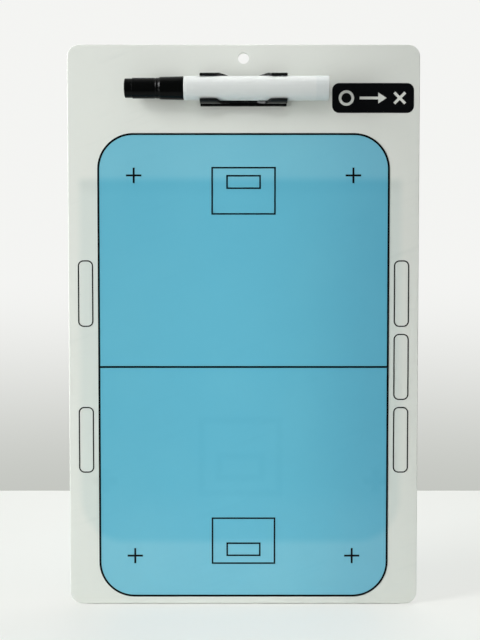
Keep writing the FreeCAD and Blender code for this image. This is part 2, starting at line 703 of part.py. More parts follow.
def cap_liner():
    """Seal cup in the cap's chamber; its mouth closes round the holder's nose cone."""
    along_cone = (LINER_MOUTH - NOSE_TIP) / NOSE_LENGTH
    bore = NOSE_RADIUS + (NOSE_ROOT_RADIUS - NOSE_RADIUS) * along_cone + SEAL_GAP
    outer = CHAMBER_RADIUS - MARKER_FIT
    return marker_lathe([
        (CHAMBER_END, 0),
        (CHAMBER_END, outer),
        (LINER_MOUTH, outer),
        (LINER_MOUTH, bore),
        (CHAMBER_END + LINER_FLOOR, bore),
        (CHAMBER_END + LINER_FLOOR, 0),
    ])


NODES = {
    "board_sheet": board_sheet(),
    "front_court_field": plate(COURT_BOX, front_layer(0), COURT_CORNER_RADIUS),
    "front_court_border": front_court_border(),
    "front_goal_areas": front_goal_areas(),
    "front_faceoff_crosses": front_faceoff_crosses(),
    "bench_outlines": bench_outlines(),
    "corner_badge": corner_badge(),
    "rear_court_field": plate(HALF_BOX, rear_layer(0), HALF_CORNER_RADIUS, 0.0),
    "rear_court_border": line_frame(HALF_BOX, rear_layer(1), HALF_LINE, HALF_CORNER_RADIUS, 0.0),
    "rear_goal_area": rear_goal_area(),
    "rear_faceoff_crosses": rear_faceoff_crosses(),
    "marker_clip": marker_clip(),
    "clip_rivets": Part.makeCompound([rivet(x) for x in rivet_places()]),
    "rivet_washers": Part.makeCompound([washer(x) for x in rivet_places()]),
    "marker_barrel": marker_barrel(),
    "marker_end_plug": marker_end_plug(),
    "ink_reservoir": ink_reservoir(),
    "reservoir_sleeve": reservoir_sleeve(),
    "nib_holder": nib_holder(),
    "marker_nib": marker_nib(),
    "cap_shell": cap_shell(),
    "cap_liner": cap_liner(),
}

os.makedirs("parts", exist_ok=True)
for name, shape in NODES.items():
    shape.exportStep(f"parts/{name}.step")
    print(f"{name}: {len(shape.Solids)} solids, {shape.Volume:.1f} cubic mm, valid {shape.isValid()}")
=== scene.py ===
"""Looks of a coach's tactics board: a printed sheet, a moulded clip and a capped marker.

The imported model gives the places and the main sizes. This script adds smooth moulded shapes, the finishes,
a plain pale studio and the camera. The object's sizes are millimetres, and the studio is in metres.
"""

import logging
import math
from dataclasses import dataclass
from enum import Enum
from typing import Optional, Sequence, Union

import bpy
import numpy as np
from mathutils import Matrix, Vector


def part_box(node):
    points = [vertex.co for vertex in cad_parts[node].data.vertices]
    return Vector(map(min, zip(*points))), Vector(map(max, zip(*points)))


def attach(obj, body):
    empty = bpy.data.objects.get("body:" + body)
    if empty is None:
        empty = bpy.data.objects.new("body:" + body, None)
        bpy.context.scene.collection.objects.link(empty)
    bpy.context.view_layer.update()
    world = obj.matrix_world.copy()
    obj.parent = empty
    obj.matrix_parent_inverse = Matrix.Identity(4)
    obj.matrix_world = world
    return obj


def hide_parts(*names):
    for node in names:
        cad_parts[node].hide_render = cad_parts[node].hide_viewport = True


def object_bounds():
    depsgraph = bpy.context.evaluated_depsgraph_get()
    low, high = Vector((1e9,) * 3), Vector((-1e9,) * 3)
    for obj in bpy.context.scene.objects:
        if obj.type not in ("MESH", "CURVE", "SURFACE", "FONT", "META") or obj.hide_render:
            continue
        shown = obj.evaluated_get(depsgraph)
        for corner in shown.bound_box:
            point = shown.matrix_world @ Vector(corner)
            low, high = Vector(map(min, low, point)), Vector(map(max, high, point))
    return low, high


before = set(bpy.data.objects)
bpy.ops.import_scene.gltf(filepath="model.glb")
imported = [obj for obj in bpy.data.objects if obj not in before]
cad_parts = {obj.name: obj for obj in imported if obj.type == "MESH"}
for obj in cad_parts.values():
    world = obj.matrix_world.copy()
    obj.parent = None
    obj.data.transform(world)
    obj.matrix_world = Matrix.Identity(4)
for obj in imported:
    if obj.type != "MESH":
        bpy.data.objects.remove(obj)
CAD_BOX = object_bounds()

LOG = logging.getLogger("tactics_board")
MM = 0.001
WHITE = (1.0, 1.0, 1.0)

ARC_STEPS = 7  # points on a rounded corner
TURN_STEPS = 128  # points round a turned piece
LEAD = 0.12  # longest flat strip beside a rounded corner, in the profile's units
LEAD_PARTS = 3  # parts of a straight run, of which a strip takes one at most
SHARP_ANGLE = 40.0  # degrees from which an edge is shaded sharp
BASE_POINTS = 3  # points of the base in half of a clip's cross-section

# Radii of small rounded edges, in millimetres
HAIR = 0.05
CRISP = 0.1
FINE = 0.15
SLIGHT = 0.2
SOFT = 0.3
FULL = 0.4

# Sockets of a colour mix: its share, the lower and the upper colour, and the result
MIX_SHARE, MIX_UNDER, MIX_OVER, MIX_RESULT = 0, 6, 7, 2

Array = np.ndarray
Colour = tuple[float, float, float]
Place = tuple[float, float, float]
Range = tuple[float, float]
Socket = bpy.types.NodeSocket
Sockets = bpy.types.bpy_prop_collection
Value = Union[Socket, float, Sequence[float]]


class Op(Enum):
    """Arithmetic that a node graph uses."""

    PLUS = "ADD"
    MINUS = "SUBTRACT"
    TIMES = "MULTIPLY"
    MOST = "MAXIMUM"
    LEAST = "MINIMUM"
    SIZE = "ABSOLUTE"
    ROOT = "SQRT"


class Blend(Enum):
    """How a layer of colour meets the colour under it."""

    COVER = "MIX"
    STAIN = "MULTIPLY"


class Detail(Enum):
    """Octaves of a noise."""

    PLAIN = 1.0
    SMOOTH = 2.0
    ROUGH = 3.0
    RICH = 4.0


class Kind(Enum):
    """What a group's socket carries."""

    VALUE = "NodeSocketFloat"
    VECTOR = "NodeSocketVector"


class Body(Enum):
    """Rigid bodies of the frame."""

    BOARD = "board"
    MARKER = "marker"
    CAP = "cap"


class Axis(Enum):
    """Direction of a turned piece's axis."""

    ALONG = (1.0, 0.0, 0.0)
    THROUGH = (0.0, 1.0, 0.0)


class Sight(Enum):
    """Whether matt and glossy surfaces see a light."""

    ALL = (True, True)
    MATT = (True, False)
    GLOSS = (False, True)


# Surfaces


@dataclass(frozen=True)
class Span:
    """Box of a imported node, in millimetres."""

    low: Array
    high: Array

    @classmethod
    def of(cls, node: str) -> "Span":
        """Reads the node's box from the frame."""
        low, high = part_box(node)
        return cls(np.array(low) / MM, np.array(high) / MM)

    @property
    def middle(self) -> Array:
        """Centre of the box."""
        return (self.low + self.high) / 2

    @property
    def half(self) -> Array:
        """Half of the box's size."""
        return (self.high - self.low) / 2


@dataclass(frozen=True)
class Corner:
    """Corner of a profile: its station along the axis, its distance from it and its rounding radius."""

    along: float
    out: float
    ease: float


@dataclass(frozen=True)
class Profile:
    """Points (along, out) of a profile, with a weight of 1 on rounded edges and 0 on straight runs."""

    points: Array
    edge: Array
    closed: bool


@dataclass
class Shell:
    """Closed surface in millimetres: grid quads, pole triangles and flat end polygons."""

    points: Array
    edge: Array
    quads: Array
    fans: Array
    ends: Array

    @property
    def faces(self) -> tuple[Array, Array, Array]:
        """The three kinds of faces in order."""
        return self.quads, self.fans, self.ends

    def volume(self) -> float:
        """Enclosed volume as the sum of signed tetrahedra, each face cut into a fan of triangles.

        Returns:
            The volume in cubic millimetres, negative where the faces point inwards.
        """
        total = 0.0
        for faces in self.faces:
            for step in range(1, faces.shape[1] - 1):
                first = self.points[faces[:, 0]]
                second = self.points[faces[:, step]]
                third = self.points[faces[:, step + 1]]
                total += float(np.sum(first * np.cross(second, third))) / 6
        return total

    def facing_out(self) -> "Shell":
        """The same surface with its faces pointing outwards.

        Returns:
            This surface, or a copy with every face turned over.
        """
        if self.volume() > 0:
            return self
        return Shell(self.points, self.edge, *(faces[:, ::-1] for faces in self.faces))

    def joined(self, other: "Shell") -> "Shell":
        """Both surfaces as one mesh, without welding them.

        Args:
            other: the surface that is added.

        Returns:
            One surface with the points of both.
        """
        points = np.concatenate([self.points, other.points])
        edge = np.concatenate([self.edge, other.edge])
        pairs = zip(self.faces, other.faces)
        faces = [np.concatenate([mine, added + len(self.points)]) for mine, added in pairs]
        return Shell(points, edge, *faces)

    def place(self, name: str) -> bpy.types.Object:
        """Makes the mesh object, with its place in the mesh.

        Args:
            name: name of the piece.

        Returns:
            The object, linked to the scene at the origin.
        """
        solid = self.facing_out()
        faces = [face for kind in solid.faces for face in kind.tolist()]
        mesh = bpy.data.meshes.new(name)
        mesh.from_pydata((solid.points * MM).tolist(), [], faces)
        smooth = np.arange(len(faces)) < len(faces) - len(solid.ends)
        mesh.polygons.foreach_set("use_smooth", smooth)
        weights = mesh.attributes.new("edge", "FLOAT", "POINT")
        weights.data.foreach_set("value", solid.edge.astype(np.float32))
        mesh.set_sharp_from_angle(angle=math.radians(SHARP_ANGLE))
        mesh.update()
        piece = bpy.data.objects.new(name, mesh)
        bpy.context.scene.collection.objects.link(piece)
        return piece


def unit(vectors: Array) -> Array:
    """Vectors of length 1 with the same directions."""
    return vectors / np.linalg.norm(vectors, axis=-1, keepdims=True)


def rounded(corners: Sequence[Corner], poles: Optional[Range] = None) -> Profile:
    """Profile whose corners are tangent arcs.

    At a corner P with unit directions a and b to its neighbours, bisector m and half angle h between them,
    the arc of radius r has its centre at P + m r / sin h. Its points are the centre plus
    r (s sin t - m cos t), where s points to the incoming side and t runs from pi / 2 - h to the opposite
    angle. A short flat strip on each side of the arc keeps the shading of the straight runs flat.

    Args:
        corners: corners in order.
        poles: stations where an open profile starts and ends on the axis; without them the profile is closed.

    Returns:
        The points of the profile in order.
    """
    spots = np.array([(corner.along, corner.out) for corner in corners])
    ease = np.array([corner.ease for corner in corners])
    before = np.roll(spots, 1, axis=0)
    after = np.roll(spots, -1, axis=0)
    if poles is not None:
        before[0] = (poles[0], 0.0)
        after[-1] = (poles[1], 0.0)
    inward = unit(before - spots)
    onward = unit(after - spots)
    middle = unit(inward + onward)
    side = unit(inward - onward)
    half = np.arccos(np.clip(np.sum(inward * onward, axis=1), -1.0, 1.0)) / 2
    reach = ease / np.tan(half)
    sweep = (math.pi / 2 - half)[:, None, None] * np.linspace(1.0, -1.0, ARC_STEPS)[None, :, None]
    centre = spots + middle * (ease / np.sin(half))[:, None]
    turned = np.sin(sweep) * side[:, None] - np.cos(sweep) * middle[:, None]
    arcs = centre[:, None] + ease[:, None, None] * turned
    leads = []
    for neighbour, way, shift in ((before, inward, 1), (after, onward, -1)):
        room = np.linalg.norm(neighbour - spots, axis=1) - reach - np.roll(reach, shift)
        lead = spots + way * (reach + np.clip(room / LEAD_PARTS, 0.0, LEAD))[:, None]
        leads.append(lead[:, None])
    points = np.concatenate([leads[0], arcs, leads[1]], axis=1).reshape(-1, 2)
    weights = np.tile([0.0, *[1.0] * ARC_STEPS, 0.0], len(corners))
    if poles is None:
        return Profile(points, weights, True)
    return on_axis(points, weights, poles)


def on_axis(points: Array, edge: Array, poles: Range) -> Profile:
    """Open profile with a point on the axis added at each end.

    Args:
        points: points between the two poles.
        edge: their edge weights.
        poles: stations of the two poles.

    Returns:
        The open profile.
    """
    start, stop = ([(station, 0.0)] for station in poles)
    weights = np.concatenate([[0.0], edge, [0.0]])
    return Profile(np.concatenate([start, points, stop]), weights, False)


def grid_quads(rows: int, columns: int, rows_close: bool) -> Array:
    """Quads of a grid whose columns close on themselves.

    Args:
        rows: points along the first parameter.
        columns: points round the second parameter.
        rows_close: whether the last row joins the first.

    Returns:
        Index array of shape (quads, 4).
    """
    here = np.arange(rows * columns).reshape(rows, columns)
    if rows_close:
        here = np.concatenate([here, here[:1]])
    beside = np.roll(here, -1, axis=1)
    return np.stack([here[:-1], beside[:-1], beside[1:], here[1:]], axis=-1).reshape(-1, 4)


def carried(places: Array, edge: Array) -> Shell:
    """Closed outlines joined in order, with a flat polygon on the first and on the last.

    Args:
        places: array of shape (outlines, points, 3) in millimetres.
        edge: edge weights of shape (outlines, points).

    Returns:
        The closed surface.
    """
    rows, columns = edge.shape
    first = np.arange(columns)
    ends = np.stack([first[::-1], first + (rows - 1) * columns])
    no_fans = np.zeros((0, 3), int)
    return Shell(places.reshape(-1, 3), edge.reshape(-1), grid_quads(rows, columns, False), no_fans, ends)


def turn(profile: Profile, base: Sequence[float], axis: Axis) -> Shell:
    """Surface of revolution.

    A profile point (s, r) turned by the angle a lies at base + s axis + r (up cos a + side sin a).

    Args:
        profile: closed profile, or open profile that starts and ends on the axis.
        base: point on the axis, from which stations count.
        axis: direction of the axis.

    Returns:
        The closed surface.
    """
    along = np.array(axis.value)
    up = np.array((0.0, 0.0, 1.0))
    side = np.cross(along, up)
    angles = np.linspace(0.0, 2 * math.pi, TURN_STEPS, endpoint=False)[:, None]
    spokes = np.cos(angles) * up + np.sin(angles) * side
    inner = profile.points if profile.closed else profile.points[1:-1]
    weights = profile.edge if profile.closed else profile.edge[1:-1]
    rings = np.array(base) + inner[:, :1, None] * along + inner[:, 1:, None] * spokes
    quads = grid_quads(len(inner), TURN_STEPS, profile.closed)
    points = rings.reshape(-1, 3)
    edge = np.repeat(weights, TURN_STEPS)
    no_ends = np.zeros((0, 3), int)
    if profile.closed:
        return Shell(points, edge, quads, no_ends, no_ends)
    poles = np.array(base) + profile.points[[0, -1], :1] * along
    first = np.arange(TURN_STEPS)
    last = first + len(points) - TURN_STEPS
    start = np.stack([np.full(TURN_STEPS, len(points)), np.roll(first, -1), first], axis=1)
    stop = np.stack([last, np.roll(last, -1), np.full(TURN_STEPS, len(points) + 1)], axis=1)
    fans = np.concatenate([start, stop])
    return Shell(np.concatenate([points, poles]), np.append(edge, (0.0, 0.0)), quads, fans, no_ends)


# Node graphs


class Graph:
    """Writes nodes into one node tree."""

    def __init__(self, tree: bpy.types.NodeTree) -> None:
        """Keeps the tree that the nodes go into."""
        self.tree = tree

    def feed(self, target: Socket, value: Value) -> None:
        """Links a socket to an input, or sets the input's own value.

        Args:
            target: the input.
            value: a socket, a number, a colour or a vector.
        """
        if isinstance(value, bpy.types.NodeSocket):
            self.tree.links.new(value, target)
        elif target.type == "RGBA":
            target.default_value = (*value, 1.0)
        else:
            target.default_value = value

    def add(self, kind: str, inputs: Optional[dict] = None, **settings: object) -> bpy.types.Node:
        """Adds a node.

        Args:
            kind: Blender's name of the node type.
            inputs: values or sockets by the input's name or number.
            settings: properties of the node, set before its inputs.

        Returns:
            The node.
        """
        node = self.tree.nodes.new(kind)
        for name, setting in settings.items():
            setattr(node, name, setting)
        for key, value in (inputs or {}).items():
            self.feed(node.inputs[key], value)
        return node

    def math(self, operation: Op, *terms: Value) -> Socket:
        """Result of one sum on numbers."""
        return self.add("ShaderNodeMath", dict(enumerate(terms)), operation=operation.value).outputs[0]

    def away(self, value: Value, middle: Value) -> Socket:
        """Distance of a number from a middle."""
        return self.math(Op.SIZE, self.math(Op.MINUS, value, middle))

    def folded(self, value: Value, middle: float) -> Socket:
        """Number mirrored onto the upper side of a middle."""
        return self.math(Op.PLUS, self.away(value, middle), middle)

    def mix(self, share: Value, under: Value, over: Value, blend: Blend = Blend.COVER) -> Socket:
        """Lays one colour over another.

        Args:
            share: how much of the upper colour shows, from 0 to 1.
            under: lower colour.
            over: upper colour.
            blend: how the two meet.

        Returns:
            The mixed colour.
        """
        inputs = {MIX_SHARE: share, MIX_UNDER: under, MIX_OVER: over}
        node = self.add("ShaderNodeMix", inputs, data_type="RGBA", blend_type=blend.value)
        return node.outputs[MIX_RESULT]

    def mix_shaders(self, share: Value, first: Socket, second: Socket) -> Socket:
        """The first shader, with a share of the second."""
        return self.add("ShaderNodeMixShader", {0: share, 1: first, 2: second}).outputs[0]

    def rise(self, value: Value, low: float, high: float, start: float = 0.0, stop: float = 1.0) -> Socket:
        """Smooth step from one level to another.

        Args:
            value: what is measured.
            low: value where the step starts.
            high: value where it ends.
            start: level before the step.
            stop: level after it.

        Returns:
            The level.
        """
        inputs = {"Value": value, "From Min": low, "From Max": high, "To Min": start, "To Max": stop}
        return self.add("ShaderNodeMapRange", inputs, interpolation_type="SMOOTHSTEP").outputs["Result"]

    def fall(self, value: Value, low: float, high: float) -> Socket:
        """Smooth step from 1 down to 0."""
        return self.rise(value, low, high, 1.0, 0.0)

    def stretched(self, point: Value, factors: Sequence[float]) -> Socket:
        """Point with each coordinate multiplied by its own factor."""
        return self.add("ShaderNodeVectorMath", {0: point, 1: factors}, operation="MULTIPLY").outputs[0]

    def point(self) -> Socket:
        """Place on the piece in millimetres, in the row frame."""
        place = self.add("ShaderNodeTexCoord").outputs["Object"]
        return self.stretched(place, (1.0 / MM, 1.0 / MM, 1.0 / MM))

    def parts(self, point: Value) -> tuple[Socket, Socket, Socket]:
        """The three coordinates of a point."""
        return tuple(self.add("ShaderNodeSeparateXYZ", {0: point}).outputs)

    def bump(self, height: Value, distance: float) -> Socket:
        """Normal bent by a height that stands for the given distance in millimetres."""
        return self.add("ShaderNodeBump", {"Height": height, "Distance": distance * MM}).outputs[0]


@dataclass(frozen=True)
class Pattern:
    """Soft noise from 0 to 1 whose lumps have about the given size, as a mask where it has two levels."""

    size: float
    detail: Detail
    shows: Optional[Range] = None

    def drawn(self, graph: Graph, point: Value) -> Socket:
        """Draws the pattern in a graph.

        Args:
            graph: where the pattern goes.
            point: place in the pattern, in the units of its size.

        Returns:
            The noise, or the mask that rises between the two levels.
        """
        inputs = {"Vector": point, "Scale": 1.0 / self.size, "Detail": self.detail.value}
        noise = graph.add("ShaderNodeTexNoise", inputs).outputs["Fac"]
        return noise if self.shows is None else graph.rise(noise, *self.shows)


@dataclass(frozen=True)
class Effect:
    """Shader node group that is built once and placed in several materials."""

    name: str

    def tree(self) -> bpy.types.NodeTree:
        """The group, built at its first use.

        Returns:
            The group's node tree.
        """
        made = bpy.data.node_groups.get(self.name)
        if made is not None:
            return made
        tree = bpy.data.node_groups.new(self.name, "ShaderNodeTree")
        for label, kind in self.inputs().items():
            tree.interface.new_socket(name=label, in_out="INPUT", socket_type=kind.value)
        graph = Graph(tree)
        results = self.wire(graph, graph.add("NodeGroupInput").outputs)
        for label in results:
            tree.interface.new_socket(name=label, in_out="OUTPUT", socket_type=Kind.VALUE.value)
        graph.add("NodeGroupOutput", results)
        return tree

    def placed(self, graph: Graph, **inputs: Value) -> Sockets:
        """Places the group in a graph.

        Args:
            graph: where the group goes.
            inputs: its inputs, named in lower case.

        Returns:
            The outputs of the placed group.
        """
        labelled = {label.capitalize(): value for label, value in inputs.items()}
        return graph.add("ShaderNodeGroup", labelled, node_tree=self.tree()).outputs

    def inputs(self) -> dict[str, Kind]:
        """Names and kinds of the inputs."""
        return {"Point": Kind.VECTOR}

    def wire(self, graph: Graph, given: Sockets) -> dict[str, Socket]:
        """Makes the nodes from the inputs on, and names the outputs."""
        raise NotImplementedError


@dataclass(frozen=True)
class BoxDistance(Effect):
    """Distance to the outline of a rounded rectangle in the plane of the sheet, negative inside it."""

    name: str = "distance_to_rounded_box"

    def inputs(self) -> dict[str, Kind]:
        """A point, and the rectangle's centre, half size and corner radius."""
        numbers = ("Across", "Up", "Width", "Height", "Corner")
        return {"Point": Kind.VECTOR, **{label: Kind.VALUE for label in numbers}}

    def wire(self, graph: Graph, given: Sockets) -> dict[str, Socket]:
        """With q = |p - centre| - half + r, the distance is |max(q, 0)| + min(max(qx, qz), 0) - r.

        Args:
            graph: graph of the group.
            given: the group's inputs.

        Returns:
            The signed distance.
        """
        x, _, z = graph.parts(given["Point"])
        inner = []
        for place, centre, half in ((x, "Across", "Width"), (z, "Up", "Height")):
            flat = graph.math(Op.MINUS, given[half], given["Corner"])
            inner.append(graph.math(Op.MINUS, graph.away(place, given[centre]), flat))
        outside = [graph.math(Op.MOST, side, 0.0) for side in inner]
        squares = [graph.math(Op.TIMES, side, side) for side in outside]
        away = graph.math(Op.ROOT, graph.math(Op.PLUS, *squares))
        within = graph.math(Op.LEAST, graph.math(Op.MOST, *inner), 0.0)
        signed = graph.math(Op.MINUS, graph.math(Op.PLUS, away, within), given["Corner"])
        return {"Distance": signed}


@dataclass(frozen=True)
class Box:
    """Rectangle in the plane of the sheet, in millimetres."""

    across: float
    up: float
    width: float
    height: float
    corner: float = 0.0

    def distance(self, graph: Graph, point: Socket) -> Socket:
        """Distance from a point to this rectangle's outline.

        Args:
            graph: graph that the distance is worked out in.
            point: the point in millimetres.

        Returns:
            The distance, negative inside.
        """
        sizes = {"across": self.across, "up": self.up, "corner": self.corner}
        halves = {"width": self.width / 2, "height": self.height / 2}
        return BoxDistance().placed(graph, point=point, **sizes, **halves)["Distance"]


@dataclass(frozen=True)
class PrintShadow(Effect):
    """Print on the far face of the sheet, seen through it as a soft shadow.

    The areas and crosses are given for one side and mirrored to the other. With a fold they are mirrored
    upwards too, and with a top the field is open there and ends in a line.
    """

    field: Box
    areas: tuple[Box, ...]
    crosses: tuple[Box, ...]
    top: Optional[float] = None
    fold: Optional[float] = None
    field_blur: float = 3.8
    line_blur: float = 4.6

    def wire(self, graph: Graph, given: Sockets) -> dict[str, Socket]:
        """Blurred inside of the field, cut at its top, and blurred lines of the areas, crosses and top.

        Args:
            graph: graph of the group.
            given: the group's inputs.

        Returns:
            Masks of the coloured field and of the lines on it.
        """
        x, y, z = graph.parts(given["Point"])
        blur = self.field_blur
        inside = graph.fall(self.field.distance(graph, given["Point"]), -blur, blur)
        if self.top is not None:
            inside = graph.math(Op.TIMES, inside, graph.fall(z, self.top - blur, self.top + blur))
        aside = graph.folded(x, self.field.across)
        up = z if self.fold is None else graph.folded(z, self.fold)
        mirrored = graph.add("ShaderNodeCombineXYZ", {"X": aside, "Y": y, "Z": up}).outputs[0]
        lines = [graph.math(Op.SIZE, area.distance(graph, mirrored)) for area in self.areas]
        lines += [graph.math(Op.MOST, bar.distance(graph, mirrored), 0.0) for bar in self.crosses]
        nearest = lines[0]
        for line in lines[1:]:
            nearest = graph.math(Op.LEAST, nearest, line)
        drawn = graph.fall(nearest, 0.0, self.line_blur)
        if self.top is not None:
            from_top = graph.away(z, self.top - self.line_blur)
            band = graph.fall(from_top, 0.0, 2 * self.line_blur)
            drawn = graph.math(Op.MOST, drawn, graph.math(Op.TIMES, band, inside))
        return {"Field": inside, "Lines": drawn}


@dataclass(frozen=True)
class WipeMarks(Effect):
    """Faint streaks and smudges that a wiped writing surface keeps.

    The streaks' pattern is drawn out to their length and width, and turned by an angle in radians.
    """

    name: str = "wipe_marks"
    streaks: Pattern = Pattern(1.0, Detail.RICH, (0.48, 0.75))
    streak_length: float = 90.0
    streak_width: float = 5.0
    streak_turn: float = 0.35
    smudges: Pattern = Pattern(38.0, Detail.ROUGH, (0.4, 0.72))
    peel: Pattern = Pattern(1.4, Detail.SMOOTH)

    def wire(self, graph: Graph, given: Sockets) -> dict[str, Socket]:
        """Noise stretched along the wiping direction, times broad smudges; a fine peel for the height.

        Args:
            graph: graph of the group.
            given: the group's inputs.

        Returns:
            Darkening by residue, change of gloss, and fine surface height.
        """
        point = given["Point"]
        turned = graph.add("ShaderNodeMapping", {"Vector": point, "Rotation": (0.0, self.streak_turn, 0.0)})
        wiped = graph.stretched(turned.outputs[0], (1.0 / self.streak_length, 1.0, 1.0 / self.streak_width))
        smudges = self.smudges.drawn(graph, point)
        residue = graph.math(Op.TIMES, self.streaks.drawn(graph, wiped), smudges)
        return {"Residue": residue, "Haze": smudges, "Height": self.peel.drawn(graph, point)}


@dataclass(frozen=True)
class MouldGrain(Effect):
    """Skin of a moulded piece: fine texture, flow lines along the piece and worn edges."""

    name: str = "mould_grain"
    grain: Pattern = Pattern(0.5, Detail.SMOOTH)
    flow: Pattern = Pattern(1.1, Detail.ROUGH)
    flow_length: float = 60.0
    wear: Pattern = Pattern(2.2, Detail.ROUGH, (0.42, 0.68))

    def inputs(self) -> dict[str, Kind]:
        """A point and the weight of rounded edges."""
        return {"Point": Kind.VECTOR, "Edge": Kind.VALUE}

    def wire(self, graph: Graph, given: Sockets) -> dict[str, Socket]:
        """Fine noise for height, noise stretched along X for flow, noise cut by a threshold for wear.

        Args:
            graph: graph of the group.
            given: the group's inputs.

        Returns:
            Surface height, flow lines and worn edges.
        """
        point = given["Point"]
        along = graph.stretched(point, (self.flow.size / self.flow_length, 1.0, 1.0))
        wear = graph.math(Op.TIMES, self.wear.drawn(graph, point), given["Edge"])
        return {"Height": self.grain.drawn(graph, point), "Flow": self.flow.drawn(graph, along), "Wear": wear}


@dataclass(frozen=True)
class Fibres(Effect):
    """Fibres that run along the marker in bundles."""

    name: str = "fibres"
    fibre: Pattern = Pattern(0.16, Detail.SMOOTH)
    bundle: Pattern = Pattern(0.8, Detail.ROUGH)
    length: float = 14.0

    def wire(self, graph: Graph, given: Sockets) -> dict[str, Socket]:
        """Height from the fibres and tone from the bundles, both drawn out along X."""
        along = graph.stretched(given["Point"], (self.fibre.size / self.length, 1.0, 1.0))
        return {"Height": self.fibre.drawn(graph, along), "Tone": self.bundle.drawn(graph, along)}


@dataclass(frozen=True)
class MetalSkin(Effect):
    """Drawn metal with fine marks and dull spots."""

    name: str = "metal_skin"
    marks: Pattern = Pattern(0.22, Detail.ROUGH)
    spots: Pattern = Pattern(0.9, Detail.RICH, (0.45, 0.7))

    def wire(self, graph: Graph, given: Sockets) -> dict[str, Socket]:
        """Height of the fine marks and mask of the dull spots."""
        point = given["Point"]
        return {"Height": self.marks.drawn(graph, point), "Dull": self.spots.drawn(graph, point)}


# Finishes


@dataclass(frozen=True, kw_only=True)
class Finish:
    """Colour and gloss of a surface.

    The dulling is what a mask adds to the roughness, and the relief is the height of the skin in millimetres.
    """

    name: str
    colour: Colour
    roughness: float
    specular: float
    dulling: float = 0.08
    relief: float = 0.0

    def material(self) -> bpy.types.Material:
        """The material, made at its first use.

        Returns:
            The material with its nodes.
        """
        made = bpy.data.materials.get(self.name)
        if made is not None:
            return made
        material = bpy.data.materials.new(self.name)
        material.use_nodes = True
        material.node_tree.nodes.clear()
        graph = Graph(material.node_tree)
        shader = graph.add("ShaderNodeBsdfPrincipled", {"Specular IOR Level": self.specular})
        self.paint(graph, shader.inputs)
        graph.add("ShaderNodeOutputMaterial", {"Surface": self.surface(graph, shader.outputs[0])})
        return material

    def paint(self, graph: Graph, surface: Sockets) -> None:
        """Feeds the shader's inputs with this finish's patterns."""
        raise NotImplementedError

    def surface(self, graph: Graph, lit: Socket) -> Socket:
        """What the material puts out: the lit surface alone."""
        return lit

    def coat(self, graph: Graph, surface: Sockets, colour: Value, mask: Value) -> None:
        """Feeds the base colour, and a roughness that a mask raises.

        Args:
            graph: graph of the material.
            surface: inputs of its shader.
            colour: base colour.
            mask: 1 where the dulling counts in full.
        """
        roughness = graph.math(Op.PLUS, graph.math(Op.TIMES, mask, self.dulling), self.roughness)
        graph.feed(surface["Base Color"], colour)
        graph.feed(surface["Roughness"], roughness)

    def emboss(self, graph: Graph, surface: Sockets, height: Socket) -> None:
        """Bends the normal by the finish's relief."""
        graph.feed(surface["Normal"], graph.bump(height, self.relief))


@dataclass(frozen=True, kw_only=True)
class WipedFinish(Finish):
    """Smooth face of the sheet, with the marks that wiping leaves."""

    relief: float = 0.004

    def tint(self, graph: Graph, point: Socket, marks: Sockets) -> Socket:
        """Colour of the face."""
        raise NotImplementedError

    def paint(self, graph: Graph, surface: Sockets) -> None:
        """Tint of the face, with a gloss and a peel from the wipe marks.

        Args:
            graph: graph of the material.
            surface: inputs of its shader.
        """
        point = graph.point()
        marks = WipeMarks().placed(graph, point=point)
        self.coat(graph, surface, self.tint(graph, point, marks), marks["Haze"])
        self.emboss(graph, surface, marks["Height"])


@dataclass(frozen=True, kw_only=True)
class StainedFinish(WipedFinish):
    """Face of the sheet through which the print of the other face shows."""

    field_stain: Colour
    line_stain: Colour
    residue: Colour

    def stained(self, graph: Graph, colour: Value, shadow: Sockets, side: Value = 1.0) -> Socket:
        """Colour stained by a print that shows through.

        Args:
            graph: graph of the material.
            colour: colour of the face.
            shadow: masks of the print.
            side: 1 on the face where the print shows.

        Returns:
            The stained colour.
        """
        for label, stain in (("Field", self.field_stain), ("Lines", self.line_stain)):
            colour = graph.mix(graph.math(Op.TIMES, shadow[label], side), colour, stain, Blend.STAIN)
        return colour


@dataclass(frozen=True, kw_only=True)
class SheetFinish(StainedFinish):
    """White plastic sheet that lets the print on its far face show through.

    The core is the range of depth in which one face's look passes into the other's.
    """

    rear_print: PrintShadow
    front_print: PrintShadow
    residue: Colour = (0.955, 0.96, 0.96)
    core: Range = (-2.0, -1.0)

    def tint(self, graph: Graph, point: Socket, marks: Sockets) -> Socket:
        """Base white, stained by the print behind the face that is seen, with residue on top.

        Args:
            graph: graph of the material.
            point: place on the sheet.
            marks: wipe marks.

        Returns:
            The colour.
        """
        _, depth, _ = graph.parts(point)
        colour = self.colour
        front = graph.fall(depth, *self.core)
        rear = graph.rise(depth, *self.core)
        for far_print, side in ((self.rear_print, front), (self.front_print, rear)):
            colour = self.stained(graph, colour, far_print.placed(graph, point=point), side)
        return graph.mix(marks["Residue"], colour, self.residue, Blend.STAIN)


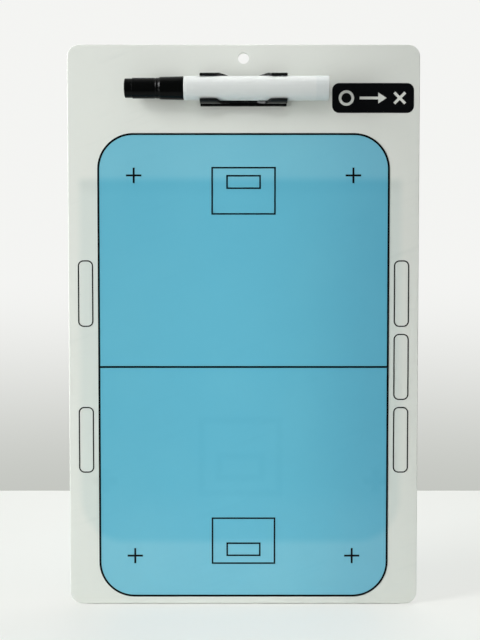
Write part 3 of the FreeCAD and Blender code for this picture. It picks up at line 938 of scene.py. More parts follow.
@dataclass(frozen=True, kw_only=True)
class FieldInk(StainedFinish):
    """Screen-printed colour of a court, with painted shade that darkens it towards +X where the light falls
    off, and with the far print showing through.
    """

    far_print: PrintShadow
    residue: Colour = (0.965, 0.98, 0.985)
    thin_spots: Colour = (1.05, 1.02, 1.01)
    clouds: Pattern = Pattern(55.0, Detail.RICH, (0.35, 0.7))
    grain: Pattern = Pattern(0.45, Detail.PLAIN, (0.5, 0.8))
    # Painted shade: the colour that darkens the field towards +X (the right side seen from the front), where
    # the light falls off, and the range of x in millimetres where it sets in
    painted_side_shade: Colour = (0.925, 0.925, 0.955)
    painted_shade_rise: Range = (35.0, 105.0)

    def tint(self, graph: Graph, point: Socket, marks: Sockets) -> Socket:
        """Ink colour with thin spots and painted shade towards +X, stained by the far print, with residue on
        top.

        Args:
            graph: graph of the material.
            point: place on the sheet.
            marks: wipe marks.

        Returns:
            The colour.
        """
        x, _, _ = graph.parts(point)
        thin = graph.math(Op.MOST, self.clouds.drawn(graph, point), self.grain.drawn(graph, point))
        colour = graph.mix(thin, self.colour, self.thin_spots, Blend.STAIN)
        # painted shade: the field gets darker towards +X, where the light falls off
        colour = graph.mix(graph.rise(x, *self.painted_shade_rise), colour, self.painted_side_shade, Blend.STAIN)
        colour = self.stained(graph, colour, self.far_print.placed(graph, point=point))
        return graph.mix(marks["Residue"], colour, self.residue, Blend.STAIN)


@dataclass(frozen=True, kw_only=True)
class LineInk(WipedFinish):
    """Dense dark ink of the lines, with thin spots where the screen left less."""

    dulling: float = 0.1
    thin: Colour = (0.006, 0.007, 0.009)
    spots: Pattern = Pattern(0.7, Detail.SMOOTH, (0.55, 0.8))

    def tint(self, graph: Graph, point: Socket, marks: Sockets) -> Socket:
        """Dark ink, a little paler in small spots."""
        return graph.mix(self.spots.drawn(graph, point), self.colour, self.thin)


@dataclass(frozen=True, kw_only=True)
class Moulding(Finish):
    """Moulded plastic with a fine skin, flow lines and worn edges."""

    flow: Colour
    worn: Colour
    flow_shows: Range = (0.35, 0.7)

    def tint(self, graph: Graph, point: Socket, skin: Sockets) -> Socket:
        """Colour before wear: flow lines in the plastic."""
        return graph.mix(graph.rise(skin["Flow"], *self.flow_shows), self.colour, self.flow)

    def paint(self, graph: Graph, surface: Sockets) -> None:
        """Flow lines and worn edges for the colour and gloss, fine noise for the skin.

        Args:
            graph: graph of the material.
            surface: inputs of its shader.
        """
        point = graph.point()
        edge = graph.add("ShaderNodeAttribute", attribute_name="edge").outputs["Fac"]
        skin = MouldGrain().placed(graph, point=point, edge=edge)
        colour = graph.mix(skin["Wear"], self.tint(graph, point, skin), self.worn)
        self.coat(graph, surface, colour, skin["Flow"])
        self.emboss(graph, surface, skin["Height"])


@dataclass(frozen=True, kw_only=True)
class BarrelFinish(Moulding):
    """Slightly translucent white barrel through which the plug shows as a greyer band."""

    plug_front: float
    plug_shade: Colour
    blur_before: float = 0.6
    blur_behind: float = 1.4

    def tint(self, graph: Graph, point: Socket, skin: Sockets) -> Socket:
        """Flow lines, and a soft darker band from the plug's front edge to the rear end.

        Args:
            graph: graph of the material.
            point: place on the barrel.
            skin: flow lines and grain.

        Returns:
            The colour before wear.
        """
        plain = super().tint(graph, point, skin)
        x, _, _ = graph.parts(point)
        band = graph.rise(x, self.plug_front - self.blur_before, self.plug_front + self.blur_behind)
        return graph.mix(band, plain, self.plug_shade, Blend.STAIN)


@dataclass(frozen=True, kw_only=True)
class FibreFinish(Finish):
    """Bonded fibres soaked with ink."""

    dry: Colour
    dulling: float = 0.1
    dry_shows: Range = (0.4, 0.7)

    def paint(self, graph: Graph, surface: Sockets) -> None:
        """Fibre streaks in colour, gloss and height.

        Args:
            graph: graph of the material.
            surface: inputs of its shader.
        """
        fibres = Fibres().placed(graph, point=graph.point())
        streaks = graph.rise(fibres["Tone"], *self.dry_shows)
        self.coat(graph, surface, graph.mix(streaks, self.colour, self.dry), fibres["Tone"])
        self.emboss(graph, surface, fibres["Height"])


@dataclass(frozen=True, kw_only=True)
class FilmFinish(Finish):
    """Thin clear film with drawn streaks."""

    streak: Colour
    clearness: float = 0.9
    dulling: float = 0.15

    def paint(self, graph: Graph, surface: Sockets) -> None:
        """Clear film, a little hazier along its streaks.

        Args:
            graph: graph of the material.
            surface: inputs of its shader.
        """
        fibres = Fibres().placed(graph, point=graph.point())
        graph.feed(surface["Transmission Weight"], self.clearness)
        self.coat(graph, surface, graph.mix(fibres["Tone"], self.colour, self.streak), fibres["Tone"])


@dataclass(frozen=True, kw_only=True)
class MetalFinish(Finish):
    """Bare metal with dull spots."""

    dull: Colour
    specular: float = 0.5
    dulling: float = 0.2
    relief: float = 0.01

    def paint(self, graph: Graph, surface: Sockets) -> None:
        """Metal colour with dull spots and fine marks.

        Args:
            graph: graph of the material.
            surface: inputs of its shader.
        """
        skin = MetalSkin().placed(graph, point=graph.point())
        graph.feed(surface["Metallic"], 1.0)
        self.coat(graph, surface, graph.mix(skin["Dull"], self.colour, self.dull), skin["Dull"])
        self.emboss(graph, surface, skin["Height"])


def dress_node(name: str, finish: Finish) -> None:
    """Gives a node of the frame its finish.

    Args:
        name: the node.
        finish: its finish.
    """
    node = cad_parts[name]
    for slot in node.material_slots:
        slot.material = finish.material()
    LOG.info("%s keeps its shape and wears %s", name, finish.name)


def dress_piece(piece: bpy.types.Object, finish: Finish, node: str, body: Body) -> None:
    """Gives a new piece its finish and its body, and hides the node that it replaces.

    Args:
        piece: the new piece.
        finish: its finish.
        node: node of the frame that it replaces.
        body: rigid body that it rides on.
    """
    piece.data.materials.append(finish.material())
    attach(piece, body.value)
    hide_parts(node)
    LOG.info("%s stands for %s, rides on %s and wears %s", piece.name, node, body.value, finish.name)


# Sub-assemblies


@dataclass
class PrintedSheet:
    """White sheet with a court printed on each face."""

    court_corner: float = 25.5
    goal_depth: float = 33.8
    keeper_width: float = 24.6
    keeper_depth: float = 9.9
    keeper_setback: float = 5.7
    cross_span: float = 11.0
    half_corner: float = 32.0
    rear_keeper_width: float = 30.5
    rear_keeper_depth: float = 15.5
    rear_keeper_setback: float = 11.2
    cross_line: float = 1.3
    sheet_white: Colour = (0.800, 0.825, 0.775)
    field_blue: Colour = (0.185, 0.547, 0.695)
    line_black: Colour = (0.0018, 0.0022, 0.0028)
    line_nodes: tuple[str, ...] = (
        "front_court_border",
        "front_goal_areas",
        "front_faceoff_crosses",
        "bench_outlines",
        "corner_badge",
        "rear_court_border",
        "rear_goal_area",
        "rear_faceoff_crosses",
    )

    def cross_bars(self, across: float, up: float, span: float) -> tuple[Box, Box]:
        """The two bars of an upright cross."""
        return Box(across, up, span, self.cross_line), Box(across, up, self.cross_line, span)

    def rear_shadow(self) -> PrintShadow:
        """Shadow of the rear half court, as it shows on the front.

        Returns:
            The shadow, open at the top edge of the field.
        """
        field = Span.of("rear_court_field")
        goal = Span.of("rear_goal_area")
        crosses = Span.of("rear_faceoff_crosses")
        span = 2 * crosses.half[2]
        tall = 2 * field.half[2] + self.half_corner
        across = field.middle[0]
        keeper_up = goal.low[2] + self.rear_keeper_setback + self.rear_keeper_depth / 2
        return PrintShadow(
            name="rear_print_through_sheet",
            field=Box(across, field.low[2] + tall / 2, 2 * field.half[0], tall, self.half_corner),
            areas=(
                Box(across, goal.middle[2], 2 * goal.half[0], 2 * goal.half[2]),
                Box(across, keeper_up, self.rear_keeper_width, self.rear_keeper_depth),
            ),
            crosses=self.cross_bars(crosses.high[0] - span / 2, crosses.middle[2], span),
            top=field.high[2],
        )

    def front_shadow(self) -> PrintShadow:
        """Shadow of the front court, as it shows on the rear.

        Returns:
            The shadow, with both ends folded onto the upper one.
        """
        field = Span.of("front_court_field")
        goals = Span.of("front_goal_areas")
        crosses = Span.of("front_faceoff_crosses")
        goal_up = goals.high[2] - self.goal_depth / 2
        keeper_up = goals.high[2] - self.keeper_setback - self.keeper_depth / 2
        cross_out = crosses.high[0] - self.cross_span / 2
        cross_up = crosses.high[2] - self.cross_span / 2
        return PrintShadow(
            name="front_print_through_sheet",
            field=Box(0.0, field.middle[2], 2 * field.half[0], 2 * field.half[2], self.court_corner),
            areas=(
                Box(0.0, goal_up, 2 * goals.half[0], self.goal_depth),
                Box(0.0, keeper_up, self.keeper_width, self.keeper_depth),
            ),
            crosses=self.cross_bars(cross_out, cross_up, self.cross_span),
            fold=field.middle[2],
        )

    def dress(self) -> None:
        """Gives the sheet and each print its finish."""
        rear = self.rear_shadow()
        front = self.front_shadow()
        sheet = SheetFinish(
            name="white_sheet_plastic",
            colour=self.sheet_white,
            roughness=0.36,
            specular=0.25,
            rear_print=rear,
            front_print=front,
            field_stain=(0.885, 0.930, 0.938),
            line_stain=(0.95, 0.95, 0.95),
        )
        dress_node("board_sheet", sheet)
        for face, far_print in (("front", rear), ("rear", front)):
            ink = FieldInk(
                name=f"{face}_field_ink",
                colour=self.field_blue,
                roughness=0.17,
                specular=0.42,
                far_print=far_print,
                field_stain=(0.695, 0.900, 0.948),
                line_stain=(0.945, 0.968, 0.976),
            )
            dress_node(f"{face}_court_field", ink)
        lines = LineInk(name="black_line_ink", colour=self.line_black, roughness=0.3, specular=0.08)
        for node in self.line_nodes:
            dress_node(node, lines)


def eased(way: Array, blend: float) -> Array:
    """0 before a corner and the way past it after, joined by a hyperbola."""
    return (way + np.sqrt(way**2 + blend**2)) / 2


@dataclass
class MarkerClip:
    """Moulded channel with two pairs of fingers, and the rivets and washers that hold it."""

    base_thickness: float = 2.0
    wall: float = 1.85
    scoop_floor: float = 5.8
    ramp_foot: float = 9.2
    ramp_slope: float = 0.64
    ramp_bend: float = 15.7
    finger_foot_slope: float = 1.8
    scoop_ease: float = 0.5
    finger_ease: float = 0.7
    cut_edge: float = 0.25
    cut_fall: float = 0.17
    cut_square: float = 0.35
    cut_fade: float = 2.5
    end_round: float = 0.45
    end_steps: int = 6
    stations: int = 161
    arc_points: int = 25
    lip_points: int = 11
    rivet_head: float = 3.0
    rivet_head_height: float = 1.3
    rivet_shank: float = 1.6
    rivet_tail: float = 2.8
    rivet_dome: float = 0.8
    rivet_fit: float = 0.05
    washer_hole_front: float = 0.08
    washer_hole_rear: float = 0.12
    washer_rim_rear: float = 0.25

    def lip_height(self, x: Array, lip: float) -> Array:
        """Height of the walls above the sheet along the clip.

        A ramp rises gently from the scoop's floor and then steeply to the finger tips. Each of its corners is
        a hyperbola: ease(t) = (t + sqrt(t^2 + k^2)) / 2 follows 0 before the corner and t after it.

        Args:
            x: stations along the clip.
            lip: height of the finger tips.

        Returns:
            The height at each station.
        """
        steeper = self.finger_foot_slope - self.ramp_slope
        gentle = self.ramp_slope * eased(np.abs(x) - self.ramp_foot, self.scoop_ease)
        steep = steeper * eased(np.abs(x) - self.ramp_bend, self.scoop_ease)
        return lip - eased(lip - self.scoop_floor - gentle - steep, self.finger_ease)

    def sections(self, height: Array, inset: Array, bore: float, base: float) -> Array:
        """Cross-sections of the channel at each station.

        Half of the outline runs from the middle of the base round its edge, out along the outer circle to
        the lip, over the lip and back along the inner circle to the floor. The lip is a half circle on the
        fingers and is cut off flat on the ramps, falling slightly outwards, with small round edges. With the
        angle q from the floor, a circle of radius R is (centre - R cos q, R sin q). The other half is its
        mirror image.

        Args:
            height: height of the lip above the sheet at each station.
            inset: how far the outline is drawn in at each station.
            bore: inner radius of the walls.
            base: half of the base's width.

        Returns:
            Array of shape (stations, points, 2) of height above the sheet and offset along Z.
        """
        low = inset[:, None]
        outer = bore + self.wall - low
        inner = bore + low
        axis = self.base_thickness + bore
        middle = bore + self.wall / 2
        tip = self.wall / 2 - low
        share = np.linspace(0.0, 1.0, self.arc_points)[None, :]
        bend = np.linspace(0.0, math.pi, self.lip_points + 2)[None, 1:-1]
        # edge of the base
        wide = base - low
        thick = self.base_thickness - low
        base_up = np.concatenate([low, low, thick], axis=1)
        base_out = np.concatenate([wide * 0, wide, wide], axis=1)
        # angles where the circles start and end
        foot = np.arccos((axis - self.base_thickness + low) / outer)
        lip_angle = np.arccos((axis - (height - self.wall / 2)) / middle)[:, None]
        flat = np.clip((height.max() - height) / self.cut_fade, 0.0, 1.0)[:, None]
        cut = height[:, None] - self.cut_edge
        outer_cut = np.arccos((axis - cut + self.cut_fall) / outer)
        inner_cut = np.arccos((axis - cut - self.cut_fall) / inner)
        rising = foot + (lip_angle + (outer_cut - lip_angle) * flat - foot) * share
        falling = (lip_angle + (inner_cut - lip_angle) * flat) * (1.0 - share)
        # half circle on the fingers
        lip_up = axis - middle * np.cos(lip_angle) + tip * (
            np.sin(lip_angle) * np.sin(bend) - np.cos(lip_angle) * np.cos(bend)
        )
        lip_out = middle * np.sin(lip_angle) + tip * (
            np.cos(lip_angle) * np.sin(bend) + np.sin(lip_angle) * np.cos(bend)
        )
        # flat cut on the ramps
        cut_far = outer * np.sin(outer_cut)
        cut_near = inner * np.sin(inner_cut)
        cut_side = np.sign(np.cos(bend)) * np.abs(np.cos(bend)) ** self.cut_square
        cut_up = cut + self.cut_edge * np.sin(bend) ** self.cut_square - self.cut_fall * cut_side
        cut_out = (cut_far + cut_near) / 2 + (cut_far - cut_near) / 2 * cut_side
        lip_up = lip_up + (cut_up - lip_up) * flat
        lip_out = lip_out + (cut_out - lip_out) * flat
        up = [base_up, axis - outer * np.cos(rising), lip_up, axis - inner * np.cos(falling)]
        out = [base_out, outer * np.sin(rising), lip_out, inner * np.sin(falling)]
        half = np.stack([np.concatenate(up, axis=1), np.concatenate(out, axis=1)], axis=-1)
        mirrored = half[:, -2:0:-1] * np.array((1.0, -1.0))
        return np.concatenate([half, mirrored], axis=1)

    def channel(self) -> Shell:
        """Channel as cross-sections carried along X, drawn in on a quarter circle at both ends.

        Returns:
            The closed surface.
        """
        span = Span.of("marker_clip")
        sheet_front = span.high[1]
        bore = sheet_front - Span.of("marker_barrel").middle[1] - self.base_thickness
        lip = sheet_front - span.low[1]
        reach = span.half[0]
        turn_in = np.linspace(0.0, math.pi / 2, self.end_steps)[1:]
        flat = np.linspace(-reach + self.end_round, reach - self.end_round, self.stations)
        end_x = reach - self.end_round + self.end_round * np.sin(turn_in)
        end_inset = self.end_round * (1.0 - np.cos(turn_in))
        x = np.concatenate([-end_x[::-1], flat, end_x])
        inset = np.concatenate([end_inset[::-1], flat * 0, end_inset])
        outline = self.sections(self.lip_height(x, lip), inset, bore, span.half[2])
        rows, columns = outline.shape[:2]
        along = np.broadcast_to(x[:, None], (rows, columns))
        places = np.stack([along, sheet_front - outline[..., 0], span.middle[2] + outline[..., 1]], axis=-1)
        lip_start = BASE_POINTS + self.arc_points
        mirror_start = columns - lip_start - self.lip_points + 1
        weights = np.zeros((rows, columns))
        for start in (lip_start, mirror_start):
            weights[:, start:start + self.lip_points] = 1.0
        weights[inset > 0] = 1.0
        return carried(places, weights)

    def rivet_axes(self) -> list[Place]:
        """Points on the two rivets' axes, at the rear face of the sheet.

        Returns:
            The left point and the right one.
        """
        washers = Span.of("rivet_washers")
        offset = washers.high[0] - washers.half[2]
        return [(side * offset, 0.0, washers.middle[2]) for side in (-1.0, 1.0)]

    def turned_pair(self, profile: Profile) -> Shell:
        """The same turned shape on both rivet axes."""
        left, right = (turn(profile, axis, Axis.THROUGH) for axis in self.rivet_axes())
        return left.joined(right)

    def rivets(self) -> Shell:
        """Countersunk heads, shanks and domed tails.

        Returns:
            Both rivets.
        """
        rivet = Span.of("clip_rivets")
        head, tail = rivet.low[1], rivet.high[1]
        seat = Span.of("rivet_washers").high[1]
        corners = [
            Corner(head, self.rivet_head, CRISP),
            Corner(head + self.rivet_head_height, self.rivet_shank, SLIGHT),
            Corner(seat, self.rivet_shank, HAIR),
            Corner(seat, self.rivet_tail, FINE),
            Corner(tail, self.rivet_tail, self.rivet_dome),
        ]
        return self.turned_pair(rounded(corners, (head, tail)))

    def washers(self) -> Shell:
        """Flat washers with rolled edges.

        Returns:
            Both washers.
        """
        washer = Span.of("rivet_washers")
        front, rear = washer.low[1], washer.high[1]
        outer = washer.half[2]
        hole = self.rivet_shank + self.rivet_fit
        corners = [
            Corner(front, hole, self.washer_hole_front),
            Corner(front, outer, FINE),
            Corner(rear, outer, self.washer_rim_rear),
            Corner(rear, hole, self.washer_hole_rear),
        ]
        return self.turned_pair(rounded(corners))

    def drill(self) -> Shell:
        """Room for the heads and shanks of the rivets, from the clip's front to the sheet's rear face.

        Returns:
            Both drills.
        """
        head = Span.of("clip_rivets").low[1]
        open_front = Span.of("marker_clip").low[1]
        wide = self.rivet_head + self.rivet_fit
        narrow = self.rivet_shank + self.rivet_fit
        corners = [
            Corner(open_front, wide, HAIR),
            Corner(head, wide, HAIR),
            Corner(head + self.rivet_head_height, narrow, HAIR),
            Corner(0.0, narrow, HAIR),
        ]
        return self.turned_pair(rounded(corners, (open_front, 0.0)))

    def drilled(self, clip: bpy.types.Object) -> None:
        """Cuts the two countersunk rivet holes through the clip's floor.

        Args:
            clip: the clip, whose mesh is exchanged for the drilled one.
        """
        drill = self.drill().place("rivet_drill")
        cut = clip.modifiers.new("rivet_holes", "BOOLEAN")
        cut.operation = "DIFFERENCE"
        cut.solver = "EXACT"
        cut.object = drill
        shape = clip.evaluated_get(bpy.context.evaluated_depsgraph_get())
        plain = clip.data
        mesh = bpy.data.meshes.new_from_object(shape)
        clip.modifiers.clear()
        clip.data = mesh
        mesh.set_sharp_from_angle(angle=math.radians(SHARP_ANGLE))
        bpy.data.meshes.remove(plain)
        bpy.data.objects.remove(drill)
        mesh.name = clip.name

    def build(self) -> None:
        """Makes and dresses the clip, the rivets and the washers."""
        plastic = Moulding(
            name="black_clip_moulding",
            colour=(0.0020, 0.0026, 0.0026),
            roughness=0.18,
            specular=0.14,
            flow=(0.0030, 0.0036, 0.0037),
            worn=(0.009, 0.010, 0.0105),
            relief=0.006,
        )
        aluminium = MetalFinish(
            name="rivet_metal",
            colour=(0.80, 0.81, 0.82),
            roughness=0.28,
            dull=(0.60, 0.61, 0.62),
        )
        zinc = MetalFinish(
            name="washer_metal",
            colour=(0.66, 0.68, 0.70),
            roughness=0.34,
            dull=(0.48, 0.49, 0.50),
        )
        clip = self.channel().place("clip_channel")
        self.drilled(clip)
        dress_piece(clip, plastic, "marker_clip", Body.BOARD)
        rivets = self.rivets().place("formed_rivets")
        dress_piece(rivets, aluminium, "clip_rivets", Body.BOARD)
        washers = self.washers().place("rolled_washers")
        dress_piece(washers, zinc, "rivet_washers", Body.BOARD)


def turned_along(node: str, profile: Profile) -> Shell:
    """Profile turned about a node's middle line along X, with stations counted from the origin."""
    _, depth, height = Span.of(node).middle
    return turn(profile, (0.0, depth, height), Axis.ALONG)


@dataclass
class Marker:
    """Barrel, end plug, holder, nib and the soaked rod inside."""

    flare: float = 0.22
    edge: float = 0.45
    plug_wall: float = 1.2
    plug_end_wall: float = 1.5
    plug_depth: float = 9.0
    post_radius: float = 2.0
    fit: float = 0.05
    spigot_wall: float = 0.6
    web_depth: float = 0.5
    flange_thickness: float = 1.0
    seat_radius: float = 6.57
    seat_length: float = 14.85
    nose_root: float = 5.15
    nose_wall: float = 0.8
    nib_tip: float = 4.0
    tip_steps: int = 24
    rod_steps: int = 8

    def barrel(self) -> Profile:
        """Tapered tube with rolled ends.

        Returns:
            The closed profile.
        """
        span = Span.of("marker_barrel")
        front, rear = span.low[0], span.high[0]
        radius = span.half[2]
        bore = Span.of("marker_end_plug").half[2] + self.fit
        return rounded([
            Corner(front, bore, CRISP),
            Corner(front, radius - self.flare, self.edge),
            Corner(rear, radius, self.edge),
            Corner(rear, bore, SOFT),
        ])

    def plug(self) -> Profile:
        """Cup with a post inside it.

        Returns:
            The open profile from the outside to the end of the post.
        """
        span = Span.of("marker_end_plug")
        rear, post_end = span.high[0], span.low[0]
        radius = span.half[2]
        floor = rear - self.plug_end_wall
        return rounded([
            Corner(rear, radius, self.edge),
            Corner(rear - self.plug_depth, radius, FINE),
            Corner(rear - self.plug_depth, radius - self.plug_wall, FINE),
            Corner(floor, radius - self.plug_wall, SOFT),
            Corner(floor, self.post_radius, SOFT),
            Corner(post_end, self.post_radius, SLIGHT),
        ], (rear, post_end))

    def holder(self) -> Profile:
        """Nose cone, cap seat, flange and hollow spigot.

        Returns:
            The closed profile.
        """
        span = Span.of("nib_holder")
        nose, spigot_end = span.low[0], span.high[0]
        flange = span.half[2]
        barrel_front = Span.of("marker_barrel").low[0]
        plugged = Span.of("marker_end_plug").half[2]
        bore = Span.of("marker_nib").half[2] + self.fit
        flange_front = barrel_front - self.flange_thickness
        seat_front = flange_front - self.seat_length
        web = barrel_front + self.web_depth
        return rounded([
            Corner(nose, bore, CRISP),
            Corner(nose, bore + self.nose_wall, SOFT),
            Corner(seat_front, self.nose_root, SOFT),
            Corner(seat_front, self.seat_radius, FULL),
            Corner(flange_front, self.seat_radius, SLIGHT),
            Corner(flange_front, flange, SOFT),
            Corner(barrel_front, flange, SOFT),
            Corner(barrel_front, plugged, CRISP),
            Corner(spigot_end, plugged, FINE),
            Corner(spigot_end, plugged - self.spigot_wall, CRISP),
            Corner(web, plugged - self.spigot_wall, FINE),
            Corner(web, bore, CRISP),
        ])

    def nib(self) -> Profile:
        """Rod with an ogive tip.

        The ogive is an arc of radius A = (L^2 + r^2) / 2r that is tangent to the rod at its shoulder: at the
        angle q from there it lies at shoulder - A sin q, r - A (1 - cos q), and it meets the axis where
        A sin q = L.

        Returns:
            The open profile from the tip to the tail.
        """
        span = Span.of("marker_nib")
        tip, tail = span.low[0], span.high[0]
        radius = span.half[2]
        arc = (self.nib_tip**2 + radius**2) / (2 * radius)
        bend = np.linspace(math.asin(self.nib_tip / arc), 0.0, self.tip_steps)[1:]
        along = tip + self.nib_tip - arc * np.sin(bend)
        out = radius - arc * (1.0 - np.cos(bend))
        rod = np.linspace(tip + self.nib_tip, tail, self.rod_steps)[1:]
        points = np.stack([np.append(along, rod), np.append(out, rod * 0 + radius)], axis=1)
        return on_axis(points, np.zeros(len(points)), (tip, tail))

    def build(self) -> None:
        """Makes and dresses the marker's pieces."""
        barrel = BarrelFinish(
            name="white_barrel_moulding",
            colour=(0.715, 0.743, 0.730),
            roughness=0.30,
            specular=0.45,
            flow=(0.697, 0.727, 0.715),
            worn=(0.73, 0.75, 0.74),
            relief=0.004,
            plug_front=Span.of("marker_end_plug").high[0] - self.plug_depth,
            plug_shade=(0.93, 0.945, 0.955),
        )
        plug = Moulding(
            name="white_plug_moulding",
            colour=(0.76, 0.785, 0.775),
            roughness=0.38,
            specular=0.4,
            flow=(0.74, 0.77, 0.76),
            worn=(0.78, 0.80, 0.79),
            relief=0.006,
        )
        felt = FibreFinish(
            name="nib_fibres",
            colour=(0.010, 0.011, 0.013),
            roughness=0.62,
            specular=0.3,
            dry=(0.028, 0.030, 0.034),
            relief=0.03,
        )
        rod = FibreFinish(
            name="soaked_fibres",
            colour=(0.05, 0.05, 0.06),
            roughness=0.7,
            specular=0.3,
            dry=(0.12, 0.12, 0.13),
            relief=0.04,
        )
        film = FilmFinish(
            name="sleeve_film",
            colour=(0.93, 0.94, 0.94),
            roughness=0.12,
            specular=0.5,
            streak=(0.86, 0.87, 0.87),
        )
        plan = [
            ("barrel_tube", self.barrel(), barrel, "marker_barrel", "white_barrel_plastic"),
            ("end_plug_cup", self.plug(), plug, "marker_end_plug", "white_plug_plastic"),
            ("holder_nose", self.holder(), plug, "nib_holder", "white_plug_plastic"),
            ("nib_bullet", self.nib(), felt, "marker_nib", "nib_felt"),
        ]
        for name, profile, finish, node, slot in plan:
            piece = turned_along("marker_barrel", profile).place(name)
            dress_piece(piece, finish, node, Body.MARKER)
        dress_node("ink_reservoir", rod)
        dress_node("reservoir_sleeve", film)


@dataclass
class Cap:
    """Cap with a stepped collar, a groove, a shoulder and a flared skirt, and the liner in it."""

    skirt_length: float = 16.15
    skirt_taper: float = 0.43
    shoulder_length: float = 1.3
    shoulder_step: float = 0.57
    groove_gap: float = 1.5
    groove_width: float = 1.4
    groove_depth: float = 0.2
    groove_ramp: float = 0.5
    groove_edge: float = 0.08
    collar_length: float = 5.2
    collar_step: float = 0.4
    collar_run: float = 0.2
    collar_edge: float = 0.06
    wall: float = 0.95
    chamber_wall: float = 1.2
    end_wall: float = 2.2
    bore_land: float = 1.0
    edge: float = 0.5

    def profile(self) -> Profile:
        """Outside of the cap from the tip to the rim, then its inside back to the tip wall.

        Returns:
            The open profile.
        """
        span = Span.of("cap_shell")
        tip, rim = span.low[0], span.high[0]
        rim_radius = span.half[2]
        skirt_radius = rim_radius - self.skirt_taper
        body = skirt_radius - self.shoulder_step
        collar = body - self.collar_step
        floor = body - self.groove_depth
        skirt = rim - self.skirt_length
        shoulder = skirt - self.shoulder_length
        groove_rear = shoulder - self.groove_gap
        groove_front = groove_rear - self.groove_width
        collar_rear = tip + self.collar_length
        bore = skirt_radius - self.wall
        bore_end = skirt + self.bore_land
        chamber = collar - self.chamber_wall
        chamber_end = tip + self.end_wall
        return rounded([
            Corner(tip, collar, self.edge),
            Corner(collar_rear, collar, self.collar_edge),
            Corner(collar_rear + self.collar_run, body, self.collar_edge),
            Corner(groove_front, body, self.groove_edge),
            Corner(groove_front + self.groove_depth, floor, self.groove_edge),
            Corner(groove_rear - self.groove_ramp, floor, self.groove_edge),
            Corner(groove_rear, body, self.groove_edge),
            Corner(shoulder, body, SOFT),
            Corner(skirt, skirt_radius, SOFT),
            Corner(rim, rim_radius, FULL),
            Corner(rim, bore, SLIGHT),
            Corner(bore_end, bore, FINE),
            Corner(bore_end, chamber, FINE),
            Corner(chamber_end, chamber, SOFT),
        ], (tip, chamber_end))

    def build(self) -> None:
        """Makes and dresses the cap, and dresses its liner."""
        gloss = Moulding(
            name="black_cap_moulding",
            colour=(0.0010, 0.0014, 0.0013),
            roughness=0.13,
            specular=0.08,
            flow=(0.0015, 0.0019, 0.0018),
            worn=(0.005, 0.006, 0.006),
            relief=0.003,
        )
        liner = Moulding(
            name="pale_liner_moulding",
            colour=(0.62, 0.64, 0.63),
            roughness=0.42,
            specular=0.4,
            flow=(0.58, 0.60, 0.59),
            worn=(0.66, 0.67, 0.66),
            relief=0.006,
        )
        piece = turned_along("cap_shell", self.profile()).place("cap_moulding")
        dress_piece(piece, gloss, "cap_shell", Body.CAP)
        dress_node("cap_liner", liner)


# Studio


@dataclass(frozen=True)
class Softbox:
    """Area light that looks at a point; places and sizes in metres, power in watts, spread in degrees."""

    name: str
    place: Place
    aim: Place
    size: tuple[float, float]
    power: float
    tint: Colour = WHITE
    sight: Sight = Sight.ALL
    spread: float = 180.0

    def hang(self) -> None:
        """Puts the light into the scene."""
        light = bpy.data.lights.new(self.name, "AREA")
        light.shape = "RECTANGLE"
        light.size, light.size_y = self.size
        light.energy = self.power
        light.color = self.tint
        light.spread = math.radians(self.spread)
        lamp = bpy.data.objects.new(self.name, light)
        lamp.visible_diffuse, lamp.visible_glossy = self.sight.value
        lamp.location = self.place
        lamp.rotation_euler = (Vector(self.aim) - Vector(self.place)).to_track_quat("-Z", "Y").to_euler()
        bpy.context.scene.collection.objects.link(lamp)


def seen_directly(graph: Graph) -> Socket:
    """Mask of the rays that come from the camera, from a gloss or through something clear.

    Args:
        graph: graph of a material or of the world.

    Returns:
        1 for such a ray, else 0.
    """
    path = graph.add("ShaderNodeLightPath").outputs
    direct = graph.math(Op.MOST, path["Is Camera Ray"], path["Is Glossy Ray"])
    return graph.math(Op.MOST, direct, path["Is Transmission Ray"])


@dataclass(frozen=True, kw_only=True)
class TableFinish(Finish):
    """Pale satin table top, which keeps only a part of its shades where it is seen directly."""

    faint: Colour
    tone: Colour
    evenness: float
    foot_middle: float
    foot_depth: float
    foot_width: float
    foot_level: float
    foot_blur: float = 0.4
    clouds: Pattern = Pattern(140.0, Detail.ROUGH)
    dulling: float = 0.06

    def clear_of_foot(self, graph: Graph) -> Socket:
        """0 on the strip of the top that the sheet stands on, else 1.

        Args:
            graph: graph of the table's material.

        Returns:
            The mask, blurred at the strip's edges.
        """
        x, y, z = graph.parts(graph.point())
        blur = self.foot_blur
        beyond = graph.rise(graph.away(y, self.foot_middle), self.foot_depth, self.foot_depth + blur)
        beside = graph.rise(graph.math(Op.SIZE, x), self.foot_width, self.foot_width + blur)
        below = graph.fall(z, self.foot_level - 2 * blur, self.foot_level - blur)
        return graph.math(Op.MOST, below, graph.math(Op.MOST, beside, beyond))

    def surface(self, graph: Graph, lit: Socket) -> Socket:
        """The lit surface, mixed with an even tone where it is seen directly and clear of the sheet's foot.

        Args:
            graph: graph of the table's material.
            lit: the lit surface.

        Returns:
            The mixed surface.
        """
        glow = graph.add("ShaderNodeEmission", {"Color": self.tone, "Strength": 1.0}).outputs[0]
        open_view = graph.math(Op.TIMES, seen_directly(graph), self.clear_of_foot(graph))
        return graph.mix_shaders(graph.math(Op.TIMES, open_view, self.evenness), lit, glow)

    def paint(self, graph: Graph, surface: Sockets) -> None:
        """Pale colour with faint clouds, in the gloss too."""
        clouds = self.clouds.drawn(graph, graph.point())
        self.coat(graph, surface, graph.mix(clouds, self.colour, self.faint), clouds)


